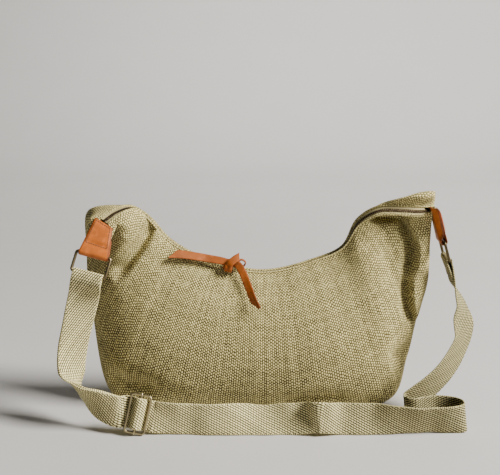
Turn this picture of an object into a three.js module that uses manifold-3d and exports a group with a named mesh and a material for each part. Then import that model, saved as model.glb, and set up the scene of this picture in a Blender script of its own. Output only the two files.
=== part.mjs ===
// A slouchy canvas crescent handbag: two sewn canvas panels, a zipped mouth with a knotted
// leather pull, a leather tab with a metal ring at each ear, and an adjustable webbing strap.
// Millimetres, +Z up, the base stands on Z = 0 and the front faces -Y.
import * as THREE from "three";
import { mergeVertices } from "three/addons/utils/BufferGeometryUtils.js";
import Module from "manifold-3d";

const wasm = await Module();
wasm.setup();

// Driving sizes
const CANVAS = 1.4;
const SEAM_GAP = 0.4;
const MOUTH_HALF = 6;
const PANEL_STEPS = 4;
const PANEL_ROWS = { front: 16, back: 10 };

const CHAIN_WIDTH = 5.6;
const CHAIN_LEVEL = { low: -2.5, high: -0.5 };
const TAPE_LEVEL = { low: -1.9, high: -1.1 };
const TAPE_SPAN = { inner: 3.1, outer: 4.25 };
const SLIDER_AT = 0.4335;
const SLIDER_LIFT = 0.35;

const WEBBING = { width: 38, thick: 2, layer: 2.7 };
const THONG = { width: 9.5, thick: 1.7 };
const TAB = { width: 37.2, leaf: 40.5, thick: 1.8, inner: 2.9 };
const RING = { width: 46.8, height: 29, wire: 3.6, corner: 4.8 };
const SLIDE = { length: 49, width: 27, wire: 4, bar: 1.7, corner: 5, nub: 0.9 };

// The two leather tabs: middle of the top edge, the way down to the fold, the way across to
// the front panel's side, and turn, which puts the zip on the outer face. lean carries the
// top edge sideways, slope lowers its front end, under is the length of the inner leaf, and
// taper the share of the width lost towards the top.
const LEFT_TAB = {
  turn: 1,
  lean: 1.5,
  slope: 8,
  under: 24,
  taper: 0.34,
  top: [-191, -46, 247],
  down: [-0.25, -0.4, -0.88],
  across: [0.966, -0.102, -0.234],
};
const RIGHT_TAB = {
  turn: -1,
  lean: 6,
  slope: 0,
  under: 32,
  taper: 0.3,
  top: [222.5, -12, 258.7],
  down: [0.28, 0, -0.96],
  across: [-0.02, -1, -0.006],
};

// Cross-sections of the bag from the left ear to the right ear. mouth is the zip's middle
// line, lean the way across it from the front panel to the back panel, seam the line where
// the panels are sewn together; front and back are the shaping points of each panel.
const SECTIONS = [
  { name: "left_tip", tab: LEFT_TAB, reach: 24, half: 14, depth: 5 },
  { name: "left_end", tab: LEFT_TAB, reach: -2.5, half: 17, depth: 5 },
  { name: "left_brow", mouth: [-176, -35, 260], lean: [-0.78, 0.55, 0.22], seam: [-208, -14, 226],
    front: [[-150, -54, 246], [-168, -40, 212]], back: [[-216, -34, 262], [-222, -8, 246]] },
  { name: "left_crest", mouth: [-158, -19, 263], lean: [-0.52, 0.78, 0.16], seam: [-222, 4, 185],
    front: [[-134, -46, 238], [-180, -52, 160]], back: [[-236, -2, 267], [-224, 20, 247]] },
  { name: "left_shoulder", mouth: [-140, -10, 249], lean: [-0.1, 0.98, 0.15], seam: [-217, 3, 120],
    front: [[-118, -38, 222], [-192, -44, 100]], back: [[-160, 24, 240], [-222, 40, 130]] },
  { name: "left_slope", mouth: [-112, -6, 217], lean: [0, 1, 0.05], seam: [-197, 6, 12],
    front: [[-104, -42, 182], [-193, -62, 4]], back: [[-120, 28, 182], [-200, 50, -2]] },
  { name: "left_base", mouth: [-70, -6, 194], lean: [0, 1, 0], seam: [-164, 10, -6],
    front: [[-64, -50, 154], [-150, -78, -28]], back: [[-74, 30, 154], [-150, 50, -18]] },
  { name: "middle", mouth: [5, -6, 177], lean: [0, 1, 0], seam: [-10, 10, -6],
    front: [[5, -54, 140], [-8, -80, -28]], back: [[5, 30, 140], [-8, 48, -18]] },
  { name: "right_base", mouth: [72, -6, 192], lean: [0, 1, 0], seam: [112, 10, -6],
    front: [[72, -52, 150], [110, -81, -28]], back: [[74, 30, 150], [112, 50, -18]] },
  { name: "right_slope", mouth: [108, -6, 209], lean: [0, 1, 0], seam: [180, 8, 6],
    front: [[110, -44, 170], [178, -66, -10]], back: [[112, 30, 172], [182, 50, -8]] },
  { name: "right_shoulder", mouth: [127, -9, 242], lean: [-0.1, 0.9, 0.4], seam: [198, 2, 60],
    front: [[136, -36, 212], [190, -46, 66]], back: [[134, 26, 232], [198, 44, 72]] },
  { name: "right_brow", mouth: [152, -17, 258], lean: [0, 0.72, 0.69], seam: [208.5, 2, 112],
    front: [[160, 3, 236], [208, -46, 140]], back: [[154, -6, 287], [206, 44, 170]] },
  { name: "right_hood", mouth: [184, -22, 259], lean: [0, 0.6, 0.8], seam: [221.2, 3, 162],
    front: [[190, 6, 238], [220, -44, 208]], back: [[188, -14, 312], [230, 40, 235]] },
  { name: "right_peak", mouth: [206, -20, 258], lean: [0.1, 0.7, 0.7], seam: [215, -2, 210],
    front: [[210, -18, 237], [224, -29, 222]], back: [[225, -10, 307], [236, 24, 272]] },
  { name: "right_end", tab: RIGHT_TAB, reach: -2.5, half: 10, depth: 5 },
  { name: "right_tip", tab: RIGHT_TAB, reach: 24, half: 10, depth: 5 },
];

// Folds and dents pressed into the front panel, in the front view: from and to are the ends
// of the crease, bow its sideways swing, width its reach to each side, depth how far it sinks.
const FOLDS = [
  { name: "left_diagonal", from: [-130, 248], to: [-192, 174], bow: -3, width: 12, depth: 13 },
  { name: "right_s_upper", from: [184, 243], to: [190, 168], bow: -12, width: 9.5, depth: 15 },
  { name: "right_s_lower", from: [190, 168], to: [206, 108], bow: 5, width: 10, depth: 14 },
  { name: "left_base_dent", from: [-200, 40], to: [-130, 32], bow: 4, width: 13, depth: 10 },
  { name: "right_side_dent", from: [204, 72], to: [172, 66], bow: 0, width: 13, depth: 6 },
];

// The strap's route from the right ring to the slide: its middle line, and the way across
// from its upper edge to its lower edge.
const RIGHT_ROUTE = [
  { at: [248.5, -16, 167.5], edge: [-0.02, 1, 0] },
  { at: [255, -20, 151.4], edge: [0.22, 0.97, 0.03] },
  { at: [260.5, -26, 135.8], edge: [0.46, 0.89, 0] },
  { at: [261.5, -34, 117], edge: [0.78, 0.625, 0] },
  { at: [259, -42, 97], edge: [0.68, 0.73, 0] },
  { at: [249, -52, 79], edge: [0.69, 0.67, -0.27] },
  { at: [233, -63, 60], edge: [0.62, 0.56, -0.55] },
  { at: [213, -71, 43], edge: [0.42, 0.42, -0.8] },
  { at: [197, -76, 31], edge: [0.2, 0.22, -0.95] },
  { at: [187, -79.5, 23], edge: [0.05, 0.08, -0.99] },
  { at: [181.5, -85.5, 20], edge: [0, 0, -1] },
  { at: [184, -92, 19], edge: [0, 0, -1] },
  { at: [193, -94, 19], edge: [0, 0, -1] },
  { at: [205, -88.5, 19], edge: [0, 0, -1] },
  { at: [219, -84, 19], edge: [0, 0, -1] },
  { at: [234, -86, 19], edge: [0.03, 0, -1] },
  { at: [246, -92, 19], edge: [0.1, 0, -1] },
  { at: [252, -101, 19], edge: [0.14, 0, -0.99] },
  { at: [249, -110, 19], edge: [0.1, 0.08, -0.99] },
  { at: [235, -115, 19], edge: [0.03, 0.24, -0.97] },
  { at: [200, -117, 19], edge: [0, 0.34, -0.94] },
  { at: [150, -116.5, 19], edge: [0, 0.02, -1] },
  { at: [104, -115, 19], edge: [0, -0.12, -0.99] },
  { at: [79, -119.4, 22.6], edge: [0, -0.1, -0.99] },
  { at: [72.5, -121, 23.6], edge: [0, -0.08, -1] },
  { at: [65, -119.3, 22.6], edge: [0, -0.08, -1] },
  { at: [40, -115.5, 19], edge: [0, -0.1, -0.99] },
  { at: [-15, -116, 19], edge: [0, -0.12, -0.99] },
  { at: [-65, -115.5, 19], edge: [0, -0.1, -0.99] },
  { at: [-102, -113, 19.5], edge: [-0.05, -0.1, -0.99] },
];
// From the slide to the left ring, where the strap lies double.
const LEFT_ROUTE = [
  { at: [-170, -110.5, 27], edge: [-0.18, -0.2, -0.96] },
  { at: [-184, -107, 30.5], edge: [-0.1, -0.05, -0.99] },
  { at: [-199, -102, 36], edge: [0, 0.22, -0.97] },
  { at: [-212.7, -96, 42], edge: [0.05, 0.6, -0.8] },
  { at: [-224, -87.5, 49], edge: [0.05, 0.8, -0.6] },
  { at: [-231, -78, 66], edge: [0.72, 0.64, -0.25] },
  { at: [-230.5, -71, 91], edge: [0.84, 0.54, 0] },
  { at: [-222.5, -68, 128], edge: [0.9, 0.42, -0.1] },
  { at: [-214, -69, 162], edge: [0.95, 0.18, -0.2] },
];
const SLIDE_AT = { at: [-146, -112.5, 25], along: [-0.98, 0.02, 0.2], edge: [-0.2, -0.3, -0.93] };
// The strap's way through the slide, as pairs of along and out: first over the middle bar,
// then back under it.
const OVER_BAR = [
  [-20, -2.6], [-15, -3.7], [-11.5, -3.8], [-9.2, -3.2], [-6, 0.5], [-3.4, 4.6],
  [0, 5.7], [3.4, 4.6], [6, 0.5], [9.2, -3.2], [11.5, -3.8], [15, -3.7],
];
const UNDER_BAR = [[15.5, -6.5], [10, -6.4], [4.5, -4.4]];

// The leather thong: its neck from the slider to the knot, its two tails, and the pointed end
// and small bight that stand out of the knot.
const KNOT = { at: [-37.5, -22, 185.5], axis: [0.97, -0.1, -0.2], radius: 5, width: 10, thick: 2.2 };
const NECK = [
  { at: [-33, -7, 192.8], edge: [1, 0, 0] },
  { at: [-34.5, -13, 193.4], edge: [1, 0, 0] },
  { at: [-36.5, -19.5, 190], edge: [1, 0, 0] },
];
const LEFT_TAIL = [
  { at: [-35, -21, 190.5], edge: [0, -0.4, -0.92] },
  { at: [-46, -20.5, 193.6], edge: [0, -0.45, -0.89] },
  { at: [-63, -20, 196.6], edge: [0, -0.5, -0.87] },
  { at: [-75, -21, 199], edge: [0, -0.55, -0.83] },
  { at: [-88, -22.5, 201.4], edge: [0, -0.6, -0.8] },
  { at: [-100, -24.5, 203.4], edge: [0, -0.62, -0.78] },
  { at: [-113, -27, 204.4], edge: [-0.1, -0.64, -0.76] },
];
const RIGHT_TAIL = [
  { at: [-37, -21, 189.5], edge: [0.2, -0.3, 0.93] },
  { at: [-29, -23, 191.5], edge: [0.55, -0.2, 0.8] },
  { at: [-24, -23.5, 187], edge: [0.85, 0, 0.5] },
  { at: [-19.3, -25.5, 178.5], edge: [0.9, 0, 0.42] },
  { at: [-12.8, -33, 163.5], edge: [0.88, -0.2, 0.4] },
  { at: [-6, -41, 147.5], edge: [0.8, -0.45, 0.35] },
  { at: [0.3, -46, 137.5], edge: [0.6, -0.7, 0.3] },
];
const KNOT_TIP = [
  { at: [-42, -24.5, 183.5], edge: [0.6, -0.3, -0.74] },
  { at: [-36.5, -27.5, 191], edge: [0.5, -0.4, -0.77] },
  { at: [-30, -25.5, 196.5], edge: [0.4, -0.4, -0.8] },
  { at: [-22, -22, 200.5], edge: [0.35, -0.35, -0.85] },
];
const KNOT_BIGHT = [
  { at: [-27, -21, 193], edge: [0, 1, 0.1] },
  { at: [-20.5, -19.5, 195], edge: [0, 1, 0.1] },
  { at: [-16.2, -19, 191.3], edge: [0, 1, 0.1] },
  { at: [-18.6, -19.5, 186.8], edge: [0, 1, 0.1] },
  { at: [-24.5, -21, 186], edge: [0, 1, 0.1] },
];

const vec = (p) => new THREE.Vector3(p[0], p[1], p[2]);
const unit = (p) => vec(p).normalize();
const mixed = (p, a, u, b = p, v = 0) => p.clone().addScaledVector(a, u).addScaledVector(b, v);

// A closed mesh with its faces turned outwards.
function shell(points, faces) {
  let volume = 0;
  for (const [a, b, c] of faces) {
    volume += points[a].dot(points[b].clone().cross(points[c]));
  }
  const index = faces.flatMap(([a, b, c]) => (volume < 0 ? [a, c, b] : [a, b, c]));
  const geometry = new THREE.BufferGeometry();
  geometry.setAttribute("position", new THREE.Float32BufferAttribute(points.flatMap((p) => p.toArray()), 3));
  geometry.setIndex(index);
  return geometry;
}

// A profile carried along a list of frames: p is the place, a and b the profile's axes.
function sweep(frames, profileAt, closed = false) {
  const profiles = frames.map((f, k) => profileAt(k / (frames.length - 1)));
  const n = profiles[0].length;
  const points = frames.flatMap((f, k) => profiles[k].map(([u, v]) => mixed(f.p, f.a, u, f.b, v)));
  const faces = [];
  const last = closed ? frames.length : frames.length - 1;
  for (let k = 0; k < last; k += 1) {
    const here = k * n;
    const next = ((k + 1) % frames.length) * n;
    for (let i = 0; i < n; i += 1) {
      const j = (i + 1) % n;
      if (i < n / 2) {
        faces.push([here + i, here + j, next + j], [here + i, next + j, next + i]);
      } else {
        faces.push([here + i, here + j, next + i], [here + j, next + j, next + i]);
      }
    }
  }
  if (!closed) {
    const end = (frames.length - 1) * n;
    for (let i = 1; i < n - 1; i += 1) {
      faces.push([0, i + 1, i], [end, end + i, end + i + 1]);
    }
  }
  return shell(points, faces);
}

const rectangle = (u0, u1, v0, v1) => [[u0, v0], [u1, v0], [u1, v1], [u0, v1]];
const strip = (width, thick) => rectangle(-width / 2, width / 2, -thick / 2, thick / 2);

// Frames along a ribbon from rows of place and edge direction.
function ribbonFrames(rows, steps) {
  const line = new THREE.CatmullRomCurve3(rows.map((r) => (r.at.isVector3 ? r.at : vec(r.at))));
  const edge = new THREE.CatmullRomCurve3(rows.map((r) => (r.edge.isVector3 ? r.edge : vec(r.edge))));
  const count = (rows.length - 1) * steps;
  const frames = [];
  for (let k = 0; k <= count; k += 1) {
    const p = line.getPoint(k / count);
    const t = line.getTangent(k / count);
    const a = edge.getPoint(k / count);
    a.addScaledVector(t, -a.dot(t)).normalize();
    frames.push({ p, a, b: t.clone().cross(a), t });
  }
  return frames;
}

// The canvas panels
function tipSection({ tab, reach, half, depth }) {
  const down = unit(tab.down);
  const across = unit(tab.across);
  const face = down.clone().cross(across).multiplyScalar(tab.turn);
  const middle = vec(tab.top).addScaledVector(down, reach);
  const mouth = mixed(middle, face, depth / 2);
  const seam = mixed(middle, face, -depth / 2);
  const side = half * 1.29;
  return {
    front: [
      mixed(mouth, across, MOUTH_HALF),
      mixed(mouth, across, side),
      mixed(seam, across, side),
      seam,
    ],
    back: [
      mixed(mouth, across, -MOUTH_HALF),
      mixed(mouth, across, -side),
      mixed(seam, across, -side),
      seam,
    ],
  };
}

function bodySection({ mouth, lean, seam, front, back }) {
  const across = unit(lean);
  return {
    front: [mixed(vec(mouth), across, -MOUTH_HALF), ...front.map(vec), vec(seam)],
    back: [mixed(vec(mouth), across, MOUTH_HALF), ...back.map(vec), vec(seam)],
  };
}

const SHAPES = SECTIONS.map((s) => (s.tab ? tipSection(s) : bodySection(s)));

// A line through one point of every section: straight inside the tabs, smooth between them.
class Rail extends THREE.Curve {
  constructor(points) {
    super();
    this.points = points;
    this.body = new THREE.CatmullRomCurve3(points.slice(1, -1));
  }

  getPoint(t) {
    const last = this.points.length - 1;
    const s = t * last;
    if (s < 1) {
      return this.points[0].clone().lerp(this.points[1], s);
    }
    if (s > last - 1) {
      return this.points[last - 1].clone().lerp(this.points[last], s - last + 1);
    }
    return this.body.getPoint((s - 1) / (last - 2));
  }
}

const rail = (side, k) => new Rail(SHAPES.map((s) => s[side][k]));
const RAILS = {
  front: [0, 1, 2, 3].map((k) => rail("front", k)),
  back: [0, 1, 2, 3].map((k) => rail("back", k)),
};

function sunk(x, z) {
  let total = 0;
  for (const f of FOLDS) {
    const from = new THREE.Vector2(...f.from);
    const to = new THREE.Vector2(...f.to);
    const run = to.clone().sub(from);
    const length = run.length();
    run.normalize();
    const here = new THREE.Vector2(x, z).sub(from);
    const s = here.dot(run) / length;
    const along = THREE.MathUtils.smoothstep(s, -0.1, 0.2) * (1 - THREE.MathUtils.smoothstep(s, 0.8, 1.1));
    const off = here.cross(run) - f.bow * 4 * s * (1 - s);
    total += f.depth * along * Math.exp(-((off / f.width) ** 2));
  }
  return total;
}

function gridNormals(grid) {
  return grid.map((column, j) => column.map((p, i) => {
    const right = grid[Math.min(j + 1, grid.length - 1)][i];
    const left = grid[Math.max(j - 1, 0)][i];
    const low = column[Math.min(i + 1, column.length - 1)];
    const high = column[Math.max(i - 1, 0)];
    return right.clone().sub(left).cross(high.clone().sub(low)).normalize();
  }));
}

function panelGrid(side) {
  const columns = (SECTIONS.length - 1) * PANEL_STEPS;
  const rows = PANEL_ROWS[side];
  let grid = [];
  for (let j = 0; j <= columns; j += 1) {
    const points = RAILS[side].map((curve) => curve.getPoint(j / columns));
    const bend = new THREE.CubicBezierCurve3(...points);
    grid.push(Array.from({ length: rows + 1 }, (_, i) => bend.getPoint(i / rows)));
  }
  const turn = side === "front" ? 1 : -1;
  if (side === "front") {
    const normals = gridNormals(grid);
    grid = grid.map((column, j) => column.map((p, i) => {
      const fade = i === rows ? 0 : 1;
      return mixed(p, normals[j][i], -fade * sunk(p.x, p.z));
    }));
  }
  grid.forEach((column) => column.forEach((p) => p.setZ(Math.max(p.z, 0))));
  return { grid, normals: gridNormals(grid).map((column) => column.map((n) => n.multiplyScalar(turn))) };
}

function panelShell(here, other) {
  const rows = here.grid[0].length - 1;
  const columns = here.grid.length - 1;
  const seamOf = (panel, j) => panel.normals[j][panel.grid[j].length - 1];
  const outer = here.grid.map((column) => column.map((p) => p.clone()));
  const inner = outer.map((column, j) => column.map((p, i) => mixed(p, here.normals[j][i], -CANVAS)));
  for (let j = 0; j <= columns; j += 1) {
    const mine = seamOf(here, j);
    const theirs = seamOf(other, j);
    const bisector = mine.clone().add(theirs).normalize();
    const reach = Math.min(CANVAS / Math.max(mine.dot(bisector), 0.3), 3 * CANVAS);
    const apart = here.grid[j][rows - 1].clone().sub(here.grid[j][rows]);
    apart.addScaledVector(bisector, -apart.dot(bisector)).normalize();
    outer[j][rows].addScaledVector(apart, SEAM_GAP / 2);
    inner[j][rows] = mixed(outer[j][rows], bisector, -reach);
  }
  inner.forEach((column) => column.forEach((p) => p.setZ(Math.max(p.z, CANVAS))));
  const width = rows + 1;
  const size = (columns + 1) * width;
  const at = (j, i, layer) => layer * size + j * width + i;
  const faces = [];
  const quad = (a, b, c, d) => faces.push([a, b, c], [a, c, d]);
  for (let j = 0; j < columns; j += 1) {
    for (let i = 0; i < rows; i += 1) {
      quad(at(j, i, 0), at(j, i + 1, 0), at(j + 1, i + 1, 0), at(j + 1, i, 0));
      quad(at(j, i, 1), at(j + 1, i, 1), at(j + 1, i + 1, 1), at(j, i + 1, 1));
    }
    quad(at(j, 0, 0), at(j + 1, 0, 0), at(j + 1, 0, 1), at(j, 0, 1));
    quad(at(j, rows, 0), at(j, rows, 1), at(j + 1, rows, 1), at(j + 1, rows, 0));
  }
  for (let i = 0; i < rows; i += 1) {
    quad(at(0, i, 0), at(0, i, 1), at(0, i + 1, 1), at(0, i + 1, 0));
    quad(at(columns, i, 0), at(columns, i + 1, 0), at(columns, i + 1, 1), at(columns, i, 1));
  }
  return shell([...outer.flat(), ...inner.flat()], faces);
}

// The zip: frames along the mouth, with a across to the back panel and b out of the mouth
function zipFrame(t) {
  const front = RAILS.front[0].getPoint(t);
  const back = RAILS.back[0].getPoint(t);
  const tangent = RAILS.front[0].getTangent(t).add(RAILS.back[0].getTangent(t)).normalize();
  const a = back.clone().sub(front);
  a.addScaledVector(tangent, -a.dot(tangent)).normalize();
  return { p: front.add(back).multiplyScalar(0.5), a, b: tangent.clone().cross(a), t: tangent };
}

const ZIP_RANGE = { from: 1.05 / 15, to: 13.3 / 15, steps: 40 };
const zipFrames = Array.from({ length: ZIP_RANGE.steps + 1 }, (_, k) => (
  zipFrame(THREE.MathUtils.lerp(ZIP_RANGE.from, ZIP_RANGE.to, k / ZIP_RANGE.steps))
));

const along = (profile) => sweep(zipFrames, () => profile);
const tapeFront = rectangle(-TAPE_SPAN.outer, -TAPE_SPAN.inner, TAPE_LEVEL.low, TAPE_LEVEL.high);
const tapeBack = rectangle(TAPE_SPAN.inner, TAPE_SPAN.outer, TAPE_LEVEL.low, TAPE_LEVEL.high);
const chain = rectangle(-CHAIN_WIDTH / 2, CHAIN_WIDTH / 2, CHAIN_LEVEL.low, CHAIN_LEVEL.high);

// Joining closed solids
function closed(geometry) {
  const bare = new THREE.BufferGeometry();
  bare.setAttribute("position", geometry.getAttribute("position").clone());
  if (geometry.index) {
    bare.setIndex(geometry.index.clone());
  }
  const merged = mergeVertices(bare, 1e-4);
  return new wasm.Manifold(new wasm.Mesh({
    numProp: 3,
    vertProperties: new Float32Array(merged.getAttribute("position").array),
    triVerts: new Uint32Array(merged.index.array),
  }));
}

function joined(...geometries) {
  const whole = geometries.map(closed).reduce((a, b) => a.add(b));
  const mesh = whole.getMesh();
  const geometry = new THREE.BufferGeometry();
  geometry.setAttribute("position", new THREE.BufferAttribute(new Float32Array(mesh.vertProperties), 3));
  geometry.setIndex(new THREE.BufferAttribute(new Uint32Array(mesh.triVerts), 1));
  return geometry;
}

// The slider: a channel over the chain with an arched crown
function sliderGeometry() {
  const plan = new THREE.Shape();
  plan.moveTo(-4.3, 1.4);
  plan.lineTo(-4.3, -0.75);
  plan.lineTo(-3.3, -0.75);
  plan.lineTo(-3.3, -0.15);
  plan.lineTo(3.3, -0.15);
  plan.lineTo(3.3, -0.75);
  plan.lineTo(4.3, -0.75);
  plan.lineTo(4.3, 1.4);
  plan.closePath();
  const body = new THREE.ExtrudeGeometry(plan, { depth: 13, bevelEnabled: false });
  body.translate(0, 0, -6.5);
  body.rotateX(Math.PI / 2);
  body.rotateZ(Math.PI / 2);
  const arch = new THREE.Shape();
  arch.moveTo(-6.3, 1);
  arch.lineTo(-6.3, 6);
  arch.quadraticCurveTo(-6, 7.4, -4.6, 7.4);
  arch.lineTo(4.6, 7.4);
  arch.quadraticCurveTo(6, 7.4, 6.3, 6);
  arch.lineTo(6.3, 1);
  arch.lineTo(5, 1);
  arch.lineTo(5, 5.9);
  arch.lineTo(-5, 5.9);
  arch.lineTo(-5, 1);
  arch.closePath();
  const crown = new THREE.ExtrudeGeometry(arch, { depth: 3, bevelEnabled: false, curveSegments: 3 });
  crown.translate(0, 0, -1.5);
  crown.rotateX(Math.PI / 2);
  return joined(body, crown);
}

// The leather thong: a loop round the crown, a wrap for the knot and the tails
function roundBand(place, axis, radius, width, thick, count) {
  const start = new THREE.Vector3(0, 0, 1).addScaledVector(axis, -axis.z).normalize();
  const frames = [];
  for (let k = 0; k < count; k += 1) {
    const b = start.clone().applyAxisAngle(axis, (2 * Math.PI * k) / count);
    frames.push({ p: mixed(place, b, radius), a: axis, b });
  }
  return sweep(frames, () => strip(width, thick), true);
}

// A strip that flares towards its end; trim is the part of its width cut away there, from its
// second edge, or from its first edge where trim is negative.
function tail(rows, { trim = 0, flare = 1, width = THONG.width } = {}) {
  const frames = ribbonFrames(rows, 2);
  const thick = THONG.thick / 2;
  return sweep(frames, (s) => {
    const half = (width / 2) * THREE.MathUtils.lerp(1, flare, s);
    const lost = 2 * half * trim * THREE.MathUtils.smoothstep(s, 0.84, 1);
    return rectangle(-half - Math.min(lost, 0), half - Math.max(lost, 0), -thick, thick);
  });
}

function thongGeometry(crown) {
  const axis = crown.t.clone();
  const bar = mixed(crown.p, crown.b, 6.65 + SLIDER_LIFT);
  const loop = roundBand(bar, axis, 3.4, 7.6, THONG.thick, 14);
  const wrap = roundBand(vec(KNOT.at), unit(KNOT.axis), KNOT.radius, KNOT.width, KNOT.thick, 14);
  const neck = tail(NECK, { width: 7.6 });
  const left = tail(LEFT_TAIL, { trim: -0.8, flare: 1.3 });
  const right = tail(RIGHT_TAIL, { trim: -0.45, flare: 1.12 });
  const bight = tail(KNOT_BIGHT, { width: 5.5 });
  return joined(loop, neck, wrap, left, right, tail(KNOT_TIP, { trim: 0.9 }), bight);
}

// Tabs and rings, drawn flat and then placed: x across, y up from the ring bar, z towards
// the zip's side
function tabFrame(tab) {
  const x = unit(tab.across);
  const y = unit(tab.down).negate();
  const z = x.clone().cross(y);
  const bar = mixed(vec(tab.top), y, -TAB.leaf);
  return { matrix: new THREE.Matrix4().makeBasis(x, y, z).setPosition(bar), x, y, z, bar };
}

function tabGeometry({ turn, lean, slope, under, taper }) {
  const outer = TAB.inner + TAB.thick;
  const high = turn > 0 ? TAB.leaf : under;
  const low = turn > 0 ? under : TAB.leaf;
  const profile = new THREE.Shape();
  profile.moveTo(outer, high);
  profile.lineTo(outer, 0);
  profile.absarc(0, 0, outer, 0, Math.PI, true);
  profile.lineTo(-outer, low);
  profile.lineTo(-TAB.inner, low);
  profile.lineTo(-TAB.inner, 0);
  profile.absarc(0, 0, TAB.inner, Math.PI, 0, false);
  profile.lineTo(TAB.inner, high);
  profile.closePath();
  const across = { depth: TAB.width, bevelEnabled: false, curveSegments: 7 };
  const geometry = new THREE.ExtrudeGeometry(profile, across);
  geometry.translate(0, 0, -TAB.width / 2);
  geometry.rotateY(-Math.PI / 2);
  const place = geometry.getAttribute("position");
  for (let k = 0; k < place.count; k += 1) {
    const rise = Math.max(place.getY(k), 0) / TAB.leaf;
    const x = place.getX(k);
    place.setX(k, x * (1 - taper * rise) + lean * rise);
    place.setY(k, place.getY(k) - (slope * rise * x) / TAB.width);
  }
  return geometry;
}

function roundedFrame(width, height, wire, corner) {
  const outline = (path, w, h, r) => {
    path.moveTo(w / 2 - r, -h / 2);
    path.absarc(w / 2 - r, h / 2 - r, r, 0, Math.PI / 2, false);
    path.absarc(-w / 2 + r, h / 2 - r, r, Math.PI / 2, Math.PI, false);
    path.absarc(-w / 2 + r, -h / 2 + r, r, Math.PI, 1.5 * Math.PI, false);
    path.absarc(w / 2 - r, -h / 2 + r, r, 1.5 * Math.PI, 2 * Math.PI, false);
    return path;
  };
  const bevel = wire * 0.3;
  const face = outline(new THREE.Shape(), width - 2 * bevel, height - 2 * bevel, corner - bevel);
  const inside = 2 * wire - 2 * bevel;
  face.holes.push(outline(new THREE.Path(), width - inside, height - inside, corner - wire + bevel));
  const geometry = new THREE.ExtrudeGeometry(face, {
    depth: wire - 2 * bevel,
    curveSegments: 3,
    bevelEnabled: true,
    bevelThickness: bevel,
    bevelSize: bevel,
    bevelSegments: 1,
  });
  geometry.translate(0, 0, bevel - wire / 2);
  return geometry;
}

const leftTab = tabFrame(LEFT_TAB);
const rightTab = tabFrame(RIGHT_TAB);
const ringDrop = (RING.height - RING.wire) / 2;
function ringGeometry(tab) {
  const ring = roundedFrame(RING.width, RING.height, RING.wire, RING.corner);
  return ring.translate(0, -ringDrop, 0).applyMatrix4(tab.matrix);
}
const lowerBar = (tab) => mixed(tab.bar, tab.y, -2 * ringDrop);

// The slide: a rounded frame with a fixed middle bar that shows as a nub at both ends
const slideFrame = (() => {
  const y = unit(SLIDE_AT.edge);
  const x = unit(SLIDE_AT.along);
  x.addScaledVector(y, -x.dot(y)).normalize();
  const z = x.clone().cross(y);
  const matrix = new THREE.Matrix4().makeBasis(x, y, z).setPosition(...SLIDE_AT.at);
  return { x, y, z, p: vec(SLIDE_AT.at), matrix };
})();

function slideGeometry() {
  const frame = roundedFrame(SLIDE.width, SLIDE.length, SLIDE.wire, SLIDE.corner);
  const bar = new THREE.CylinderGeometry(SLIDE.bar, SLIDE.bar, SLIDE.length + 2 * SLIDE.nub, 12);
  return joined(frame, bar).applyMatrix4(slideFrame.matrix);
}

// The strap: its rows from the sewn end at the right ring to the wrapped end at the slide
function roundBar(place, side, up, radius, angles, edge) {
  return angles.map((degrees) => {
    const turn = THREE.MathUtils.degToRad(degrees);
    return { at: mixed(place, side, radius * Math.cos(turn), up, radius * Math.sin(turn)), edge };
  });
}

function strapRows() {
  const wrap = RING.wire / 2 + 0.4 + WEBBING.thick / 2;
  const right = lowerBar(rightTab);
  const left = lowerBar(leftTab);
  const rows = [];
  const hang = new THREE.Vector3(0.28, -0.07, -0.96).normalize();
  const edge = rightTab.x.clone().negate();
  for (const [drop, out] of [[24, 1.6], [16, 1.8], [8, 2.6]]) {
    rows.push({ at: mixed(right, hang, drop, rightTab.z, out), edge });
  }
  rows.push(...roundBar(right, rightTab.z, rightTab.y, wrap, [0, 45, 90, 135, 180], edge));
  rows.push({ at: mixed(right, hang, 9, rightTab.z, -2.4), edge });
  rows.push(...RIGHT_ROUTE);
  const weave = ([s, out]) => ({
    at: mixed(slideFrame.p, slideFrame.x, s, slideFrame.z, out),
    edge: slideFrame.y,
  });
  rows.push(...OVER_BAR.map(weave));
  const ringEnd = { at: mixed(left, leftTab.y, -9), edge: leftTab.x };
  const double = ribbonFrames([weave([17, -4.7]), ...LEFT_ROUTE, ringEnd], 1).slice(1);
  rows.push(...double.map((f) => ({ at: mixed(f.p, f.b, WEBBING.layer / 2), edge: f.a })));
  rows.push(...roundBar(left, leftTab.z, leftTab.y, wrap, [180, 135, 90, 45, 0], leftTab.x));
  rows.push(...double.reverse().map((f) => ({ at: mixed(f.p, f.b, -WEBBING.layer / 2), edge: f.a })));
  rows.push(...UNDER_BAR.map(weave));
  const hold = SLIDE.bar + 0.35 + WEBBING.thick / 2;
  const back = slideFrame.x.clone();
  const out = slideFrame.z.clone();
  rows.push(...roundBar(slideFrame.p, back, out, hold, [-90, -135, -180, -225, -270, -300], slideFrame.y));
  return rows;
}

function strapGeometry() {
  const frames = ribbonFrames(strapRows(), 2);
  for (const f of frames) {
    const low = (WEBBING.width / 2) * Math.abs(f.a.z) + (WEBBING.thick / 2) * Math.abs(f.b.z);
    f.p.setZ(Math.max(f.p.z, low + 0.05));
  }
  return sweep(frames, () => strip(WEBBING.width, WEBBING.thick));
}

// Colours and finishes
const canvas = { color: 0x8d8667, roughness: 0.95, metalness: 0 };
const webbing = { color: 0xa7a183, roughness: 0.9, metalness: 0 };
const leather = { color: 0xa85f2c, roughness: 0.5, metalness: 0 };
const brass = { color: 0x8c7448, roughness: 0.35, metalness: 1 };
const tape = { color: 0x8f8a6c, roughness: 0.95, metalness: 0 };
const bronze = { color: 0x4f3f2a, roughness: 0.4, metalness: 1 };

const bag = new THREE.Group();
bag.name = "canvas_crescent_handbag";

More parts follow.
